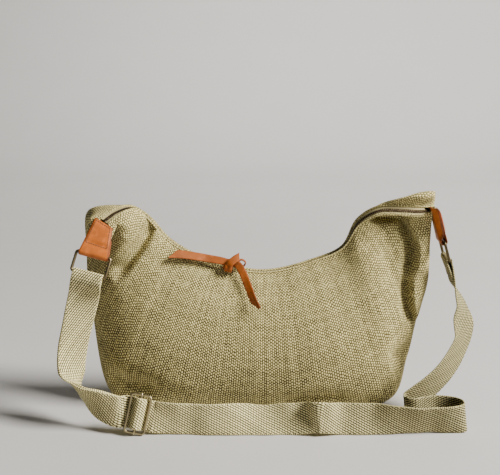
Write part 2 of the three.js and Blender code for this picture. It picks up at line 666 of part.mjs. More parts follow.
function add(name, geometry, finish) {
  const mesh = new THREE.Mesh(geometry, new THREE.MeshStandardMaterial(finish));
  mesh.name = name;
  bag.add(mesh);
}

const frontPanel = panelGrid("front");
const backPanel = panelGrid("back");
const sliderFrame = zipFrame(SLIDER_AT);
const sliderMatrix = new THREE.Matrix4().makeBasis(sliderFrame.t, sliderFrame.a, sliderFrame.b);
sliderMatrix.setPosition(mixed(sliderFrame.p, sliderFrame.b, SLIDER_LIFT));

add("front_panel", panelShell(frontPanel, backPanel), canvas);
add("back_panel", panelShell(backPanel, frontPanel), canvas);
add("zip_tape_front", along(tapeFront), tape);
add("zip_tape_back", along(tapeBack), tape);
add("zip_teeth", along(chain), bronze);
add("zip_slider", sliderGeometry().applyMatrix4(sliderMatrix), brass);
add("zip_pull", thongGeometry(sliderFrame), leather);
add("left_tab", tabGeometry(LEFT_TAB).applyMatrix4(leftTab.matrix), leather);
add("right_tab", tabGeometry(RIGHT_TAB).applyMatrix4(rightTab.matrix), leather);
add("left_ring", ringGeometry(leftTab), brass);
add("right_ring", ringGeometry(rightTab), brass);
add("strap", strapGeometry(), webbing);
add("slide_buckle", slideGeometry(), brass);

export default bag;
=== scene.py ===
"""A slouchy canvas crescent handbag with a zipped mouth and an adjustable webbing strap.

Shapes are worked out in millimetres from short tables, most of which also give the solids their
form, and become metres in the meshes. +Z is up and the front faces -Y.
"""

import math

import bpy
import numpy as np
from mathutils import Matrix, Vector, noise


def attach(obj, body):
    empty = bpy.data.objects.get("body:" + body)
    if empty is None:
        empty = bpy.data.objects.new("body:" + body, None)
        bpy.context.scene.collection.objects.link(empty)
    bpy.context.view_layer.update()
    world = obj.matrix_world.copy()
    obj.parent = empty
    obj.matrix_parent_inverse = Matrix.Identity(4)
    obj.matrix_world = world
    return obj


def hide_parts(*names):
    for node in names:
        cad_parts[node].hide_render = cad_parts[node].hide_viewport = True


bl_info = {
    "name": "Canvas Crescent Handbag",
    "version": (1, 0, 0),
    "blender": (4, 5, 0),
    "location": "View3D > Sidebar > Handbag",
    "description": "Dresses the handbag's frame in canvas, webbing, leather and antique brass",
    "category": "Object",
}

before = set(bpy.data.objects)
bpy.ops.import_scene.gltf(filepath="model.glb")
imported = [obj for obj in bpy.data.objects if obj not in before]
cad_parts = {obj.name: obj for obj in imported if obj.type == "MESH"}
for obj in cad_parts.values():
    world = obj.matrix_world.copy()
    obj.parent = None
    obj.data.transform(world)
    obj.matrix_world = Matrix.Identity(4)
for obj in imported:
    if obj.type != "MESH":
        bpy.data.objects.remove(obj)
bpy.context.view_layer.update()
MM = 0.001

# The two leather tabs: middle of the top edge, the way down to the fold, the way across to
# the front panel's side, and turn, which puts the zip on the outer face. lean carries the
# top edge sideways, slope lowers its front end, under is the length of the inner leaf, wrap
# bends that leaf's front edge round the ear, and taper is the share of the width lost towards
# the top.
LEFT_TAB = {
    "turn": 1,
    "lean": 1.5,
    "slope": 8,
    "under": 24,
    "wrap": 0,
    "taper": 0.34,
    "top": (-191, -46, 247),
    "down": (-0.25, -0.4, -0.88),
    "across": (0.966, -0.102, -0.234),
}
RIGHT_TAB = {
    "turn": -1,
    "lean": 6,
    "slope": 0,
    "under": 45,
    "wrap": 5.5,
    "taper": 0.3,
    "top": (222.5, -12, 258.7),
    "down": (0.28, 0, -0.96),
    "across": (-0.02, -1, -0.006),
}
MOUTH_HALF = 6

# Ends of the loft inside the tabs: tab, reach below its top edge, half width, depth. Their
# shaping points stand wider than the half width by a fixed share.
TIP_SPREAD = 1.29
EAR_TIPS = {
    "left": ((LEFT_TAB, 24, 14, 5), (LEFT_TAB, -2.5, 17, 5)),
    "right": ((RIGHT_TAB, -2.5, 10, 5), (RIGHT_TAB, 24, 10, 5)),
}
# Cross-sections between the ears: the zip's middle line, the way across it to the back panel,
# the seam of the two panels, and the shaping points of the front and of the back panel.
SECTIONS = (
    ((-176, -35, 260), (-0.78, 0.55, 0.22), (-208, -14, 226),
     ((-150, -54, 246), (-168, -40, 212)), ((-216, -34, 262), (-222, -8, 246))),
    ((-158, -19, 263), (-0.52, 0.78, 0.16), (-222, 4, 185),
     ((-134, -46, 238), (-180, -52, 160)), ((-236, -2, 267), (-224, 20, 247))),
    ((-140, -10, 249), (-0.1, 0.98, 0.15), (-217, 3, 120),
     ((-118, -38, 222), (-192, -44, 100)), ((-160, 24, 240), (-222, 40, 130))),
    ((-112, -6, 217), (0, 1, 0.05), (-197, 6, 12),
     ((-104, -42, 182), (-193, -62, 4)), ((-120, 28, 182), (-200, 50, -2))),
    ((-70, -6, 194), (0, 1, 0), (-164, 10, -6),
     ((-64, -50, 154), (-150, -78, -28)), ((-74, 30, 154), (-150, 50, -18))),
    ((5, -6, 177), (0, 1, 0), (-10, 10, -6),
     ((5, -54, 140), (-8, -80, -28)), ((5, 30, 140), (-8, 48, -18))),
    ((72, -6, 192), (0, 1, 0), (112, 10, -6),
     ((72, -52, 150), (110, -81, -28)), ((74, 30, 150), (112, 50, -18))),
    ((108, -6, 209), (0, 1, 0), (180, 8, 6),
     ((110, -44, 170), (178, -66, -10)), ((112, 30, 172), (182, 50, -8))),
    ((127, -9, 242), (-0.1, 0.9, 0.4), (198, 2, 60),
     ((136, -36, 212), (190, -46, 66)), ((134, 26, 232), (198, 44, 72))),
    ((152, -17, 258), (0, 0.72, 0.69), (208.5, 2, 112),
     ((160, 3, 236), (208, -46, 140)), ((154, -6, 287), (206, 44, 170))),
    ((184, -22, 259), (0, 0.6, 0.8), (221.2, 3, 162),
     ((190, 6, 238), (220, -44, 208)), ((188, -14, 312), (230, 40, 235))),
    ((206, -20, 258), (0.1, 0.7, 0.7), (215, -2, 210),
     ((210, -18, 237), (224, -29, 222)), ((225, -10, 307), (236, 24, 272))),
)

# Folds and dents of the panels in the front view, pressed in across the cloth: start, end,
# sideways swing, reach on the left of the way down, reach on its right, depth.
FRONT_FOLDS = (
    ((-200, 40), (-130, 32), 4, 13, 13, 10),
    ((204, 72), (172, 66), 0, 13, 13, 6),
    ((128, 234), (146, 208), 3, 9, 9, 2.6),
    ((-150, 24), (-96, 30), 3, 10, 10, 2.2),
    ((-120, 205), (-168, 150), 5, 12, 12, 1.6),
    ((160, 205), (176, 150), -3, 10, 10, 1.5),
    ((36, 12), (120, 15), -1, 8, 8, 9),
)
BACK_FOLDS = (
    ((-150, 236), (-196, 170), 5, 14, 14, 5),
    ((178, 262), (200, 180), -8, 14, 14, 6),
    ((120, 196), (165, 150), 4, 12, 12, 2.5),
    ((-60, 150), (40, 138), -8, 26, 26, 2.5),
    ((-190, 60), (-120, 30), 6, 16, 16, 4),
    ((110, 32), (180, 58), -6, 16, 16, 4),
)
# Folds of the two ears on the front panel, pressed straight back; a depth below zero stands
# out as a ridge.
EAR_FOLDS = (
    ((-131, 244), (-180, 174), -3, 15, 6, 15),
    ((-166, 236), (-188, 196), 0, 12, 14, -4),
    ((176, 251), (190, 175), -12, 7.5, 4.2, 15),
    ((187, 248), (200, 172), -11, 4.5, 13, -6),
    ((190, 175), (203, 108), 5, 7.5, 4.2, 14),
    ((200, 172), (213, 108), 5, 4.5, 12, -5.5),
)
# The tuck under the right end of the zip's lower lip: reach below, reach above.
LIP_TUCK = (((144, 248.5), (188, 248.5), 0, 5, 3, 26),)

# The strap's route from the right ring to the slide: its middle line, and the way across from
# its upper edge to its lower edge.
RIGHT_ROUTE = (
    ((248.5, -16, 167.5), (-0.02, 1, 0)),
    ((255, -20, 151.4), (0.22, 0.97, 0.03)),
    ((260.5, -26, 135.8), (0.46, 0.89, 0)),
    ((261.5, -34, 117), (0.78, 0.625, 0)),
    ((259, -42, 97), (0.68, 0.73, 0)),
    ((249, -52, 79), (0.69, 0.67, -0.27)),
    ((233, -63, 60), (0.62, 0.56, -0.55)),
    ((213, -71, 43), (0.42, 0.42, -0.8)),
    ((197, -76, 31), (0.2, 0.22, -0.95)),
    ((187, -79.5, 23), (0.05, 0.08, -0.99)),
    ((181.5, -85.5, 20), (0, 0, -1)),
    ((184, -92, 19), (0, 0, -1)),
    ((193, -94, 19), (0, 0, -1)),
    ((205, -88.5, 19), (0, 0, -1)),
    ((219, -84, 19), (0, 0, -1)),
    ((234, -86, 19), (0.03, 0, -1)),
    ((246, -92, 19), (0.1, 0, -1)),
    ((252, -101, 19), (0.14, 0, -0.99)),
    ((249, -110, 19), (0.1, 0.08, -0.99)),
    ((235, -115, 19), (0.03, 0.24, -0.97)),
    ((200, -117, 19), (0, 0.34, -0.94)),
    ((150, -116.5, 19), (0, 0.02, -1)),
    ((104, -115, 19), (0, -0.12, -0.99)),
    ((79, -119.4, 22.6), (0, -0.1, -0.99)),
    ((72.5, -121, 23.6), (0, -0.08, -1)),
    ((65, -119.3, 22.6), (0, -0.08, -1)),
    ((40, -115.5, 19), (0, -0.1, -0.99)),
    ((-15, -116, 19), (0, -0.12, -0.99)),
    ((-65, -115.5, 19), (0, -0.1, -0.99)),
    ((-102, -113, 19.5), (-0.05, -0.1, -0.99)),
)
# From the slide to the left ring, where the strap lies double.
LEFT_ROUTE = (
    ((-170, -110.5, 27), (-0.18, -0.2, -0.96)),
    ((-184, -107, 30.5), (-0.1, -0.05, -0.99)),
    ((-199, -102, 36), (0, 0.22, -0.97)),
    ((-212.7, -96, 42), (0.05, 0.6, -0.8)),
    ((-224, -87.5, 49), (0.05, 0.8, -0.6)),
    ((-231, -78, 66), (0.72, 0.64, -0.25)),
    ((-230.5, -71, 91), (0.84, 0.54, 0)),
    ((-222.5, -68, 128), (0.9, 0.42, -0.1)),
    ((-214, -69, 162), (0.95, 0.18, -0.2)),
)
SLIDE_AT = {"at": (-146, -112.5, 25), "along": (-0.98, 0.02, 0.2), "edge": (-0.2, -0.3, -0.93)}
# The strap's way through the slide, as along and out: over the middle bar, out to the doubled
# run, then back under.
OVER_BAR = (
    (-20, -2.6), (-15, -3.7), (-11.5, -3.8), (-9.2, -3.2), (-6, 0.5), (-3.4, 4.6),
    (0, 5.7), (3.4, 4.6), (6, 0.5), (9.2, -3.2), (11.5, -3.8), (15, -3.7),
)
LEAVES_SLIDE = (17, -4.7)
UNDER_BAR = ((15.5, -6.5), (10, -6.4), (4.5, -4.4))
# The rounded ends of the slide's bar: way in from the end, share of the bar's radius.
BAR_END = ((0, 0.45), (0.25, 0.8), (0.7, 1.0))

# The leather thong: its neck from the slider to the knot, its two tails, and the pointed end
# and small bight that stand out of the knot.
KNOT = {"at": (-37.5, -22, 185.5), "axis": (0.97, -0.1, -0.2), "radius": 5, "width": 10,
        "thick": 2.2}
NECK = (
    ((-33, -7, 192.8), (1, 0, 0)),
    ((-34.5, -13, 193.4), (1, 0, 0)),
    ((-36.5, -19.5, 190), (1, 0, 0)),
)
LEFT_TAIL = (
    ((-35, -21, 190.5), (0, -0.4, -0.92)),
    ((-46, -20.5, 193.6), (0, -0.45, -0.89)),
    ((-63, -20, 196.6), (0, -0.5, -0.87)),
    ((-75, -21, 199), (0, -0.55, -0.83)),
    ((-88, -22.5, 201.4), (0, -0.6, -0.8)),
    ((-100, -24.5, 203.4), (0, -0.62, -0.78)),
    ((-113, -27, 204.4), (-0.1, -0.64, -0.76)),
)
RIGHT_TAIL = (
    ((-37, -21, 189.5), (0.2, -0.3, 0.93)),
    ((-29, -23, 191.5), (0.55, -0.2, 0.8)),
    ((-24, -23.5, 187), (0.85, 0, 0.5)),
    ((-19.3, -25.5, 178.5), (0.9, 0, 0.42)),
    ((-12.8, -33, 163.5), (0.88, -0.2, 0.4)),
    ((-6, -41, 147.5), (0.8, -0.45, 0.35)),
    ((0.3, -46, 137.5), (0.6, -0.7, 0.3)),
)
KNOT_TIP = (
    ((-42, -24.5, 183.5), (0.6, -0.3, -0.74)),
    ((-36.5, -27.5, 191), (0.5, -0.4, -0.77)),
    ((-30, -25.5, 196.5), (0.4, -0.4, -0.8)),
    ((-22, -22, 200.5), (0.35, -0.35, -0.85)),
)
KNOT_BIGHT = (
    ((-27, -21, 193), (0, 1, 0.1)),
    ((-20.5, -19.5, 195), (0, 1, 0.1)),
    ((-16.2, -19, 191.3), (0, 1, 0.1)),
    ((-18.6, -19.5, 186.8), (0, 1, 0.1)),
    ((-24.5, -21, 186), (0, 1, 0.1)),
)

TAB = {"width": 37.2, "leaf": 40.5, "thick": 1.8, "inner": 2.9}
RING = {"width": 46.8, "height": 29, "wire": 3.6, "corner": 4.8}
SLIDE = {"width": 27, "height": 49, "wire": 3.1, "bar": 1.7, "corner": 5, "nub": 0.9}
# Ends of the zip and of the hems along the mouth, counted in the loft's 15 steps.
ZIP_RANGE = (1.05 / 15, 13.3 / 15)
HEM_RANGE = (0.9 / 15, 13.9 / 15)
# off is the way from the middle line or the lip, and sink the depth below it.
HEM = {"width": 2.7, "thick": 2.5, "off": 0.9, "sink": 0.4}
TAPE = {"width": 4.2, "thick": 0.7, "off": 4.3, "sink": 1.75}
TOOTH = {"size": (2.1, 4.6, 2.3), "off": 0.75, "sink": 1.35}
# The slider's place along the mouth and its lift, and its plate: half length, width at the wide
# end, narrowing, thickness, height of its middle, reach of its straight sides, rounded ends.
SLIDER = {"at": 0.4335, "lift": 0.35, "half": 6.5, "width": 8.6, "narrow": 1.6, "thick": 1.55,
          "plate": 0.62, "square": 5.2, "round": 1.31}
# The crown over the plate, as along and out, and the thong's eye that hangs in it.
CROWN = ((-5.7, 0.8), (-5.7, 4), (-5.3, 6), (-3.8, 6.65), (0, 6.7), (3.8, 6.65), (5.3, 6),
         (5.7, 4), (5.7, 0.8))
CROWN_BAND = {"width": 3, "thick": 1.4}
EYE = {"rise": 6.65, "radius": 3.4, "width": 7.6, "thick": 1.7}
# Stitches of the tabs, in a box on the outer leaf, and of the strap's doubled end.
TAB_STITCH = {"size": (3.4, 1.3, 1.0), "low": 11, "high": 38.2, "inset": 3.0, "proud": 0.02}
STRAP_STITCH = {"size": (3.0, 1.1, 0.8), "half": 15.5, "proud": 1.05, "rows": (2, 12)}
# The strap's doubled end at the right ring: the way it hangs, the rows of its free end below
# the bar, as down and out, and the row where the strap leaves the bar.
KEEPER_HANG = (0.28, -0.07, -0.96)
KEEPER = ((24, 1.6), (16, 1.8), (8, 2.6))
KEEPER_FRONT = (9, -2.4)
# layer is the spacing where the strap lies double, slack its room round a bar, below_ring where
# its middle line starts under the left ring, and bead the swelling of its edges.
STRAP = {"layer": 2.7, "ring_slack": 0.4, "bar_slack": 0.35, "below_ring": 9, "floor_gap": 0.05,
         "bead": 0.12}
# The lean of the strap's front run, in degrees: a wide bell, as angle, place and spread, and
# two shorter leans, as angle and the four places of their window.
LEAN_BELL = (34, 8, 34)
LEANS = ((13, (84, 100, 135, 165)), (13, (30, 50, 58, 66)))
# Points along and across the panels, front and back, and the step of their flat pattern.
PANEL_COLUMNS = 240
PANEL_ROWS = (88, 64)
PATTERN_STEP = 4
# The plain middle of the panels: in front of one depth, or behind the other, and half length.
PLAIN = {"front": -38, "back": 18, "half": 150}
# The lamps: name, place, aim, size, tint, spread in degrees.
LAMPS = (
    ("key", (3.37, -1.1, 2.89), (0.0, 0.0, 0.12), 1.6, (1, 0.97, 0.92), 180),
    ("fill", (-1.4, -1.1, 0.9), (0.0, 0.0, 0.12), 1.2, (0.92, 0.96, 1), 180),
    ("wall", (0.0, 1.0, 2.7), (0.0, 3.0, 0.3), 1.5, (1, 1, 1), 80),
)
ROOM_TINT = (0.86, 0.9, 0.95, 1)
CAMERA_AT = (-0.0104, -1.156, 0.455)
SENSOR_WIDTH = 36
# The floor in metres: half width, front edge, start and radius of the sweep behind, top, drop.
FLOOR = {"half": 5.0, "front": -4.0, "sweep": 2.2, "radius": 1.0, "top": 3.5, "drop": 0.0004}


def length(name, description, millimetres):
    return bpy.props.FloatProperty(
        name=name, description=description, default=millimetres * MM, unit="LENGTH")


def angle(name, description, degrees):
    return bpy.props.FloatProperty(
        name=name, description=description, default=math.radians(degrees), subtype="ANGLE")


def power(name, description, watts):
    return bpy.props.FloatProperty(
        name=name, description=description, default=watts, unit="POWER")


def colour(name, description, value):
    return bpy.props.FloatVectorProperty(
        name=name, description=description, default=value, subtype="COLOR", size=3, min=0, max=1)


class HandbagSizes(bpy.types.PropertyGroup):
    """Sizes that a maker would change."""

    canvas: length("Canvas", "Thickness of the canvas", 1.4)
    weave_wide: length("Weave width", "Width of one canvas thread", 2.6)
    weave_tall: length("Weave height", "Height of one canvas thread", 1.85)
    webbing_width: length("Webbing width", "Width of the strap", 38)
    webbing_thick: length("Webbing thickness", "Thickness of the strap", 2)
    rib_pitch: length("Rib pitch", "Spacing of the strap's slanting ribs", 2.7)
    rib_slant: angle("Rib slant", "Angle of the ribs to the strap's length", 28)
    thong_width: length("Thong width", "Width of the leather thong", 9.5)
    thong_thick: length("Thong thickness", "Thickness of the leather thong", 1.7)
    stitch_pitch: length("Stitch pitch", "Spacing of the stitches", 3.1)
    tooth_pitch: length("Tooth pitch", "Spacing of the zip teeth on one side", 2.5)


class HandbagColours(bpy.types.PropertyGroup):
    """Colours that a maker would change."""

    canvas_thread: colour("Canvas thread", "Raised threads of the canvas", (0.83, 0.715, 0.315))
    # The colour of the gaps between the canvas threads is painted shade in the hollows of the
    # weave.
    canvas_gap_shade: colour("Canvas gap", "Gaps between the canvas threads", (0.05, 0.036, 0.009))
    webbing_rib: colour("Webbing rib", "Raised ribs of the strap", (0.98, 0.87, 0.43))
    # The colour of the grooves between the webbing's ribs is painted shade in the hollows of the
    # twill.
    webbing_groove_shade: colour("Webbing groove", "Grooves between the ribs", (0.03, 0.022, 0.006))
    # The zip tape's colour is kept darker than the tape, as painted shade of the mouth's recess
    # where the tapes lie.
    tape: colour("Zip tape", "Woven zip tape", (0.4, 0.34, 0.17))
    leather: colour("Leather", "Faces of the leather", (0.56, 0.14, 0.016))
    leather_shade: colour("Leather shade", "Cut edges of the leather", (0.12, 0.025, 0.006))
    thread: colour("Thread", "Sewing thread of the stitches", (0.07, 0.03, 0.015))
    brass: colour("Pale brass", "Rubbed metal of slide and slider", (0.86, 0.71, 0.4))
    # The dark colour below is old oxide on the metal and also painted shade along its sides.
    patina_and_side_shade: colour("Patina", "Darkened metal of slide and slider", (0.045, 0.034, 0.018))
    ring_metal: colour("Ring metal", "Dark bronze of the rings", (0.2, 0.155, 0.085))
    zip_metal: colour("Zip teeth", "Dark bronze of the teeth", (0.075, 0.053, 0.032))
    floor: colour("Floor", "Plain pale floor", (0.5, 0.49, 0.475))


class HandbagStage(bpy.types.PropertyGroup):
    """Camera and light."""

    lens: bpy.props.FloatProperty(
        name="Lens", description="Focal length", default=66.0, subtype="DISTANCE_CAMERA")
    pitch: angle("Pitch", "Camera's angle below the horizon", 11.5)
    key: power("Key light", "Power of the light from the right", 650.0)
    fill: power("Fill light", "Power of the light from the left", 0.8)
    wall: power("Wall light", "Power of the light on the wall behind", 14.0)
    sky: bpy.props.FloatProperty(
        name="Room light", description="Strength of the even light", default=0.05)


def settings():
    """The sizes in the scene."""
    return bpy.context.scene.handbag_sizes


def palette():
    """The colours in the scene."""
    return bpy.context.scene.handbag_colours


def node_operator(operation):
    """An operator's two methods: with the socket on its left, and with the socket on its right."""

    def left(self, other):
        return self.math(operation, self, other)

    def right(self, other):
        return self.math(operation, other, self)

    return left, right


class Value:
    """A shader socket; each operator on it adds a Math node."""

    def __init__(self, finish, socket):
        self.finish = finish
        self.socket = socket

    def math(self, operation, *terms):
        return self.finish.node("ShaderNodeMath", {"operation": operation}, dict(enumerate(terms)))

    __add__, __radd__ = node_operator("ADD")
    __sub__, __rsub__ = node_operator("SUBTRACT")
    __mul__, __rmul__ = node_operator("MULTIPLY")
    __truediv__, __rtruediv__ = node_operator("DIVIDE")
    __pow__, __rpow__ = node_operator("POWER")
    __mod__, __rmod__ = node_operator("FLOORED_MODULO")

    def floor(self):
        return self.math("FLOOR", self)

    def size(self):
        return self.math("ABSOLUTE", self)

    def most(self, other):
        return self.math("MAXIMUM", self, other)

    def phase(self):
        """From -1 to 1 over each whole step of the value."""
        return 2 * self.math("FRACT", self) - 1

    def dome(self):
        """1 in the middle and 0 at -1 and 1, rounded as a thread is."""
        return (1 - self * self).most(0) ** 0.5

    def between(self, low, high):
        """A smooth step from 0 at low to 1 at high."""
        kind = {"interpolation_type": "SMOOTHSTEP"}
        return self.finish.node("ShaderNodeMapRange", kind, {0: self, 1: low, 2: high})


class Finish:
    """A material's node tree, ending in one Principled shader."""

    def __init__(self, name):
        self.material = bpy.data.materials.new(name)
        self.material.use_nodes = True
        self.tree = self.material.node_tree
        self.tree.nodes.clear()

    def node(self, kind, choices=None, inputs=None, pick=0):
        """A node with its settings and its inputs, as the value of one of its outputs."""
        made = self.tree.nodes.new(kind)
        for key, value in (choices or {}).items():
            setattr(made, key, value)
        for key, value in (inputs or {}).items():
            if isinstance(value, Value):
                self.tree.links.new(value.socket, made.inputs[key])
            else:
                made.inputs[key].default_value = value
        return Value(self, made.outputs[pick]) if made.outputs else None

    def attribute(self, name):
        """A mesh attribute, as a vector."""
        return self.node("ShaderNodeAttribute", {"attribute_name": name}, pick=1)

    def place(self):
        """Object coordinates."""
        return self.node("ShaderNodeTexCoord", pick=3)

    def split(self, vector):
        """The three numbers of a vector."""
        made = self.node("ShaderNodeSeparateXYZ", None, {0: vector}).socket.node
        return [Value(self, output) for output in made.outputs]

    def joined(self, x, y):
        return self.node("ShaderNodeCombineXYZ", None, {0: x, 1: y})

    def grain(self, vector, scale, detail=2.0, rough=0.5):
        """Soft noise from 0 to 1."""
        inputs = {"Vector": vector, "Scale": scale, "Detail": detail, "Roughness": rough}
        return self.node("ShaderNodeTexNoise", None, inputs)

    def chance(self, number):
        """A fixed random number for each number."""
        return self.node("ShaderNodeTexWhiteNoise", {"noise_dimensions": "1D"}, {"W": number})

    def mix(self, factor, first, second):
        """A colour between two colours."""
        inputs = {0: factor, 6: full(first), 7: full(second)}
        return self.node("ShaderNodeMix", {"data_type": "RGBA"}, inputs, pick=2)

    def shade(self, paint, factor):
        """A colour made lighter or darker by a number."""
        grey = self.node("ShaderNodeCombineColor", None, {0: factor, 1: factor, 2: factor})
        choices = {"data_type": "RGBA", "blend_type": "MULTIPLY"}
        return self.node("ShaderNodeMix", choices, {0: 1.0, 6: full(paint), 7: grey}, pick=2)

    def bump(self, height, depth, strength):
        inputs = {"Height": height, "Distance": depth, "Strength": strength}
        return self.node("ShaderNodeBump", None, inputs)

    def done(self, inputs):
        shader = self.node("ShaderNodeBsdfPrincipled", None, inputs)
        self.node("ShaderNodeOutputMaterial", None, {0: shader})
        return self.material


def full(paint):
    """A colour for a socket, with its alpha where it is three numbers."""
    return paint if isinstance(paint, Value) else (*paint[:3], 1.0)


def tinted(paint, factor, lift=0.0):
    """A fixed colour made lighter or darker."""
    return [min(1.0, factor * c + lift) for c in paint]


def canvas_finish(f):
    """Coarse plain-woven canvas, with slubs and threads of uneven shade."""
    sizes = settings()
    tones = palette()
    cloth = f.attribute("cloth")
    u, v, _ = f.split(cloth)
    x = u / sizes.weave_wide + (f.grain(cloth, 55.0, 1.0) - 0.5) * 0.9
    column = x.floor()
    y = v / (2 * sizes.weave_tall) + (f.grain(cloth, 43.0, 1.0) - 0.5) * 1.6
    y = y + 0.5 * (column % 2) + 0.22 * f.chance(column)
    row = y.floor()
    a = x.phase()
    b = y.phase()
    warp = (a * 1.04).dome() * (b * 1.22).dome()
    weft = (1.9 * (1 - b.size())).dome() * (1 - 0.3 * a * a)
    height = warp.most(0.5 * weft)
    slub = f.grain(f.joined(u * 900.0, v * 330.0), 1.0)
    knuckle = f.chance(column * 57.0 + row)
    height = height * (0.62 + 0.45 * slub + 0.25 * knuckle)
    tone = 0.78 + 0.26 * f.chance(column + 0.5) + 0.18 * f.chance(row + 211.5)
    broad = 0.86 + 0.28 * f.grain(cloth, 16.0)
    # Painted shade: the near-black gap colour fills the hollows between the raised threads.
    lit = height.between(0.32, 0.92)
    paint = f.shade(f.mix(lit, tones.canvas_gap_shade, tones.canvas_thread), tone * broad)
    return f.done({
        "Base Color": paint,
        "Roughness": 0.94,
        "Specular IOR Level": 0.15,
        "Normal": f.bump(height, 0.0009, 0.9),
    })


def webbing_finish(f):
    """Twill webbing: slanting ribs of short threads, beaded edges, painted shade at its first end.
    """
    sizes = settings()
    tones = palette()
    thread_run = 3.6 * MM
    bead_pitch = 2.3 * MM
    cloth = f.attribute("cloth")
    across, along, edge = f.split(cloth)
    slant = sizes.rib_slant
    wander = (f.grain(cloth, 90.0, 1.0) - 0.5) * 0.35
    rib = along * math.sin(slant) / sizes.rib_pitch
    rib = rib + across * math.cos(slant) / sizes.rib_pitch + wander
    ridge = rib.phase().dome()
    step = along * math.cos(slant) / thread_run - across * math.sin(slant) / thread_run
    thread = (step + rib.floor() * 0.37).phase().dome()
    bead = (along / bead_pitch).phase().dome()
    border = edge.between(0.93, 0.96)
    height = ridge * (0.66 + 0.34 * thread)
    height = height + (bead - height) * border
    # Painted shade: the strap is darker over its first quarter metre from the sewn end at the right
    # ring, where its loop hangs, and brightens up to three quarters of a metre.
    first_end_shade = 0.55 + 0.53 * along.between(0.25, 0.75)
    tone = first_end_shade * (0.88 + 0.24 * f.chance(rib.floor()))
    # Painted shade: the near-black groove colour fills the hollows between the ribs.
    lit = height.between(0.66, 1.0)
    paint = f.shade(f.mix(lit, tones.webbing_groove_shade, tones.webbing_rib), tone)
    return f.done({
        "Base Color": paint,
        "Roughness": 0.88,
        "Specular IOR Level": 0.2,
        "Normal": f.bump(height, 0.0006, 0.8),
    })


def tape_finish(f):
    """Fine woven zip tape, faintly faded in places, with painted shade in its weave's hollows."""
    tape = palette().tape
    across, along, _ = f.split(f.attribute("cloth"))
    warp = (across / (0.55 * MM)).phase().dome()
    weft = (along / (0.7 * MM)).phase().dome()
    height = warp * weft
    here = f.place()
    faded = f.mix(f.grain(here, 40.0), tape, tinted(tape, 1.18))
    speck = f.grain(here, 900.0)
    # Painted shade: the tape is darker where its weave sinks between the threads.
    paint = f.shade(faded, 0.6 + 0.35 * height + 0.3 * speck)
    return f.done({
        "Base Color": paint,
        "Roughness": 0.9,
        "Specular IOR Level": 0.2,
        "Normal": f.bump(height, 0.00025, 0.7),
    })


def leather_finish(f, tan, gloss):
    """Waxed cognac leather: pull-up patches, fine creases, dark cut edges."""
    here = f.place()
    _, _, edge = f.split(f.attribute("cloth"))
    patch = f.grain(here, 62.0, 3.0, 0.55).between(0.34, 0.72)
    fine = f.grain(here, 700.0, 3.0, 0.6)
    pores = f.node("ShaderNodeTexVoronoi", {"feature": "DISTANCE_TO_EDGE"},
                   {"Vector": here, "Scale": 900.0})
    crease = pores.between(0.0, 0.14)
    rim = edge.between(0.86, 1.0)
    wear = 0.6 * patch + 0.25 * fine
    paint = f.mix(wear, tan, tinted(tan, 0.58))
    bloom = f.grain(here, 130.0).between(0.5, 0.8)
    paint = f.mix(bloom * 0.65, paint, tinted(tan, 1.35, 0.02))
    paint = f.mix(rim * 0.75, paint, palette().leather_shade)
    return f.done({
        "Base Color": paint,
        "Roughness": 0.36 + 0.2 * fine + 0.1 * patch,
        "Specular IOR Level": gloss,
        "Coat Weight": 0.06,
        "Coat Roughness": 0.35,
        "Normal": f.bump(crease + 0.4 * fine, 0.00012, 0.5),
    })


def thread_finish(f):
    """Waxed sewing thread."""
    thread = palette().thread
    twist = f.grain(f.place(), 1500.0)
    paint = f.mix(twist, thread, tinted(thread, 2.6))
    return f.done({
        "Base Color": paint,
        "Roughness": 0.7,
        "Normal": f.bump(twist, 0.0001, 0.5),
    })


def metal_finish(f, bright, dark, rough, metal=1.0):
    """Old metal, worn bright on its faces, with painted shade along its sides."""
    here = f.place()
    _, _, side = f.split(f.attribute("cloth"))
    # Painted shade: the metal turns to its dark colour along its sides; noise leaves its faces worn
    # bright in patches.
    face = 1 - side.between(0.4, 0.8)
    wear_and_side_shade = face * (0.55 + 0.45 * f.grain(here, 85.0, 3.0, 0.6).between(0.32, 0.68))
    speck = f.grain(here, 1300.0)
    paint = f.mix(wear_and_side_shade * 0.85 + 0.15 * speck, dark, bright)
    return f.done({
        "Base Color": paint,
        "Metallic": metal,
        "Roughness": rough + 0.2 * speck,
        "Normal": f.bump(speck, 0.00005, 0.35),
    })


def finish(name):
    """The named material, made the first time that it is asked for."""
    made = bpy.data.materials.get(name)
    if made:
        return made
    tones = palette()
    maker, *values = {
        "woven_canvas": (canvas_finish,),
        "twill_webbing": (webbing_finish,),
        "woven_tape": (tape_finish,),
        "sewing_thread": (thread_finish,),
        "waxed_leather": (leather_finish, tones.leather, 0.35),
        # The thong's leather is the tabs' leather painted darker, as painted shade for the strong
        # light that falls on the thong.
        "thong_leather": (leather_finish, tinted(tones.leather, 0.6), 0.2),
        "old_brass": (metal_finish, tones.brass, tones.patina_and_side_shade, 0.22, 0.95),
        "ring_bronze": (
            metal_finish, tinted(tones.ring_metal, 1.8), tinted(tones.ring_metal, 0.4), 0.28),
        "dark_bronze": (metal_finish, tinted(tones.zip_metal, 1.7), tones.zip_metal, 0.3),
    }[name]
    return maker(Finish(name), *values)


def unit(v):
    """Vectors of length 1."""
    v = np.asarray(v, float)
    return v / np.linalg.norm(v, axis=-1, keepdims=True)


def smooth(x, low, high):
    """A smooth step from 0 at low to 1 at high."""
    s = np.clip((x - low) / (high - low), 0, 1)
    return s * s * (3 - 2 * s)


def window(x, low, full, fade, high):
    """1 from full to fade, and smoothly down to 0 at low and at high."""
    return smooth(x, low, full) * (1 - smooth(x, fade, high))


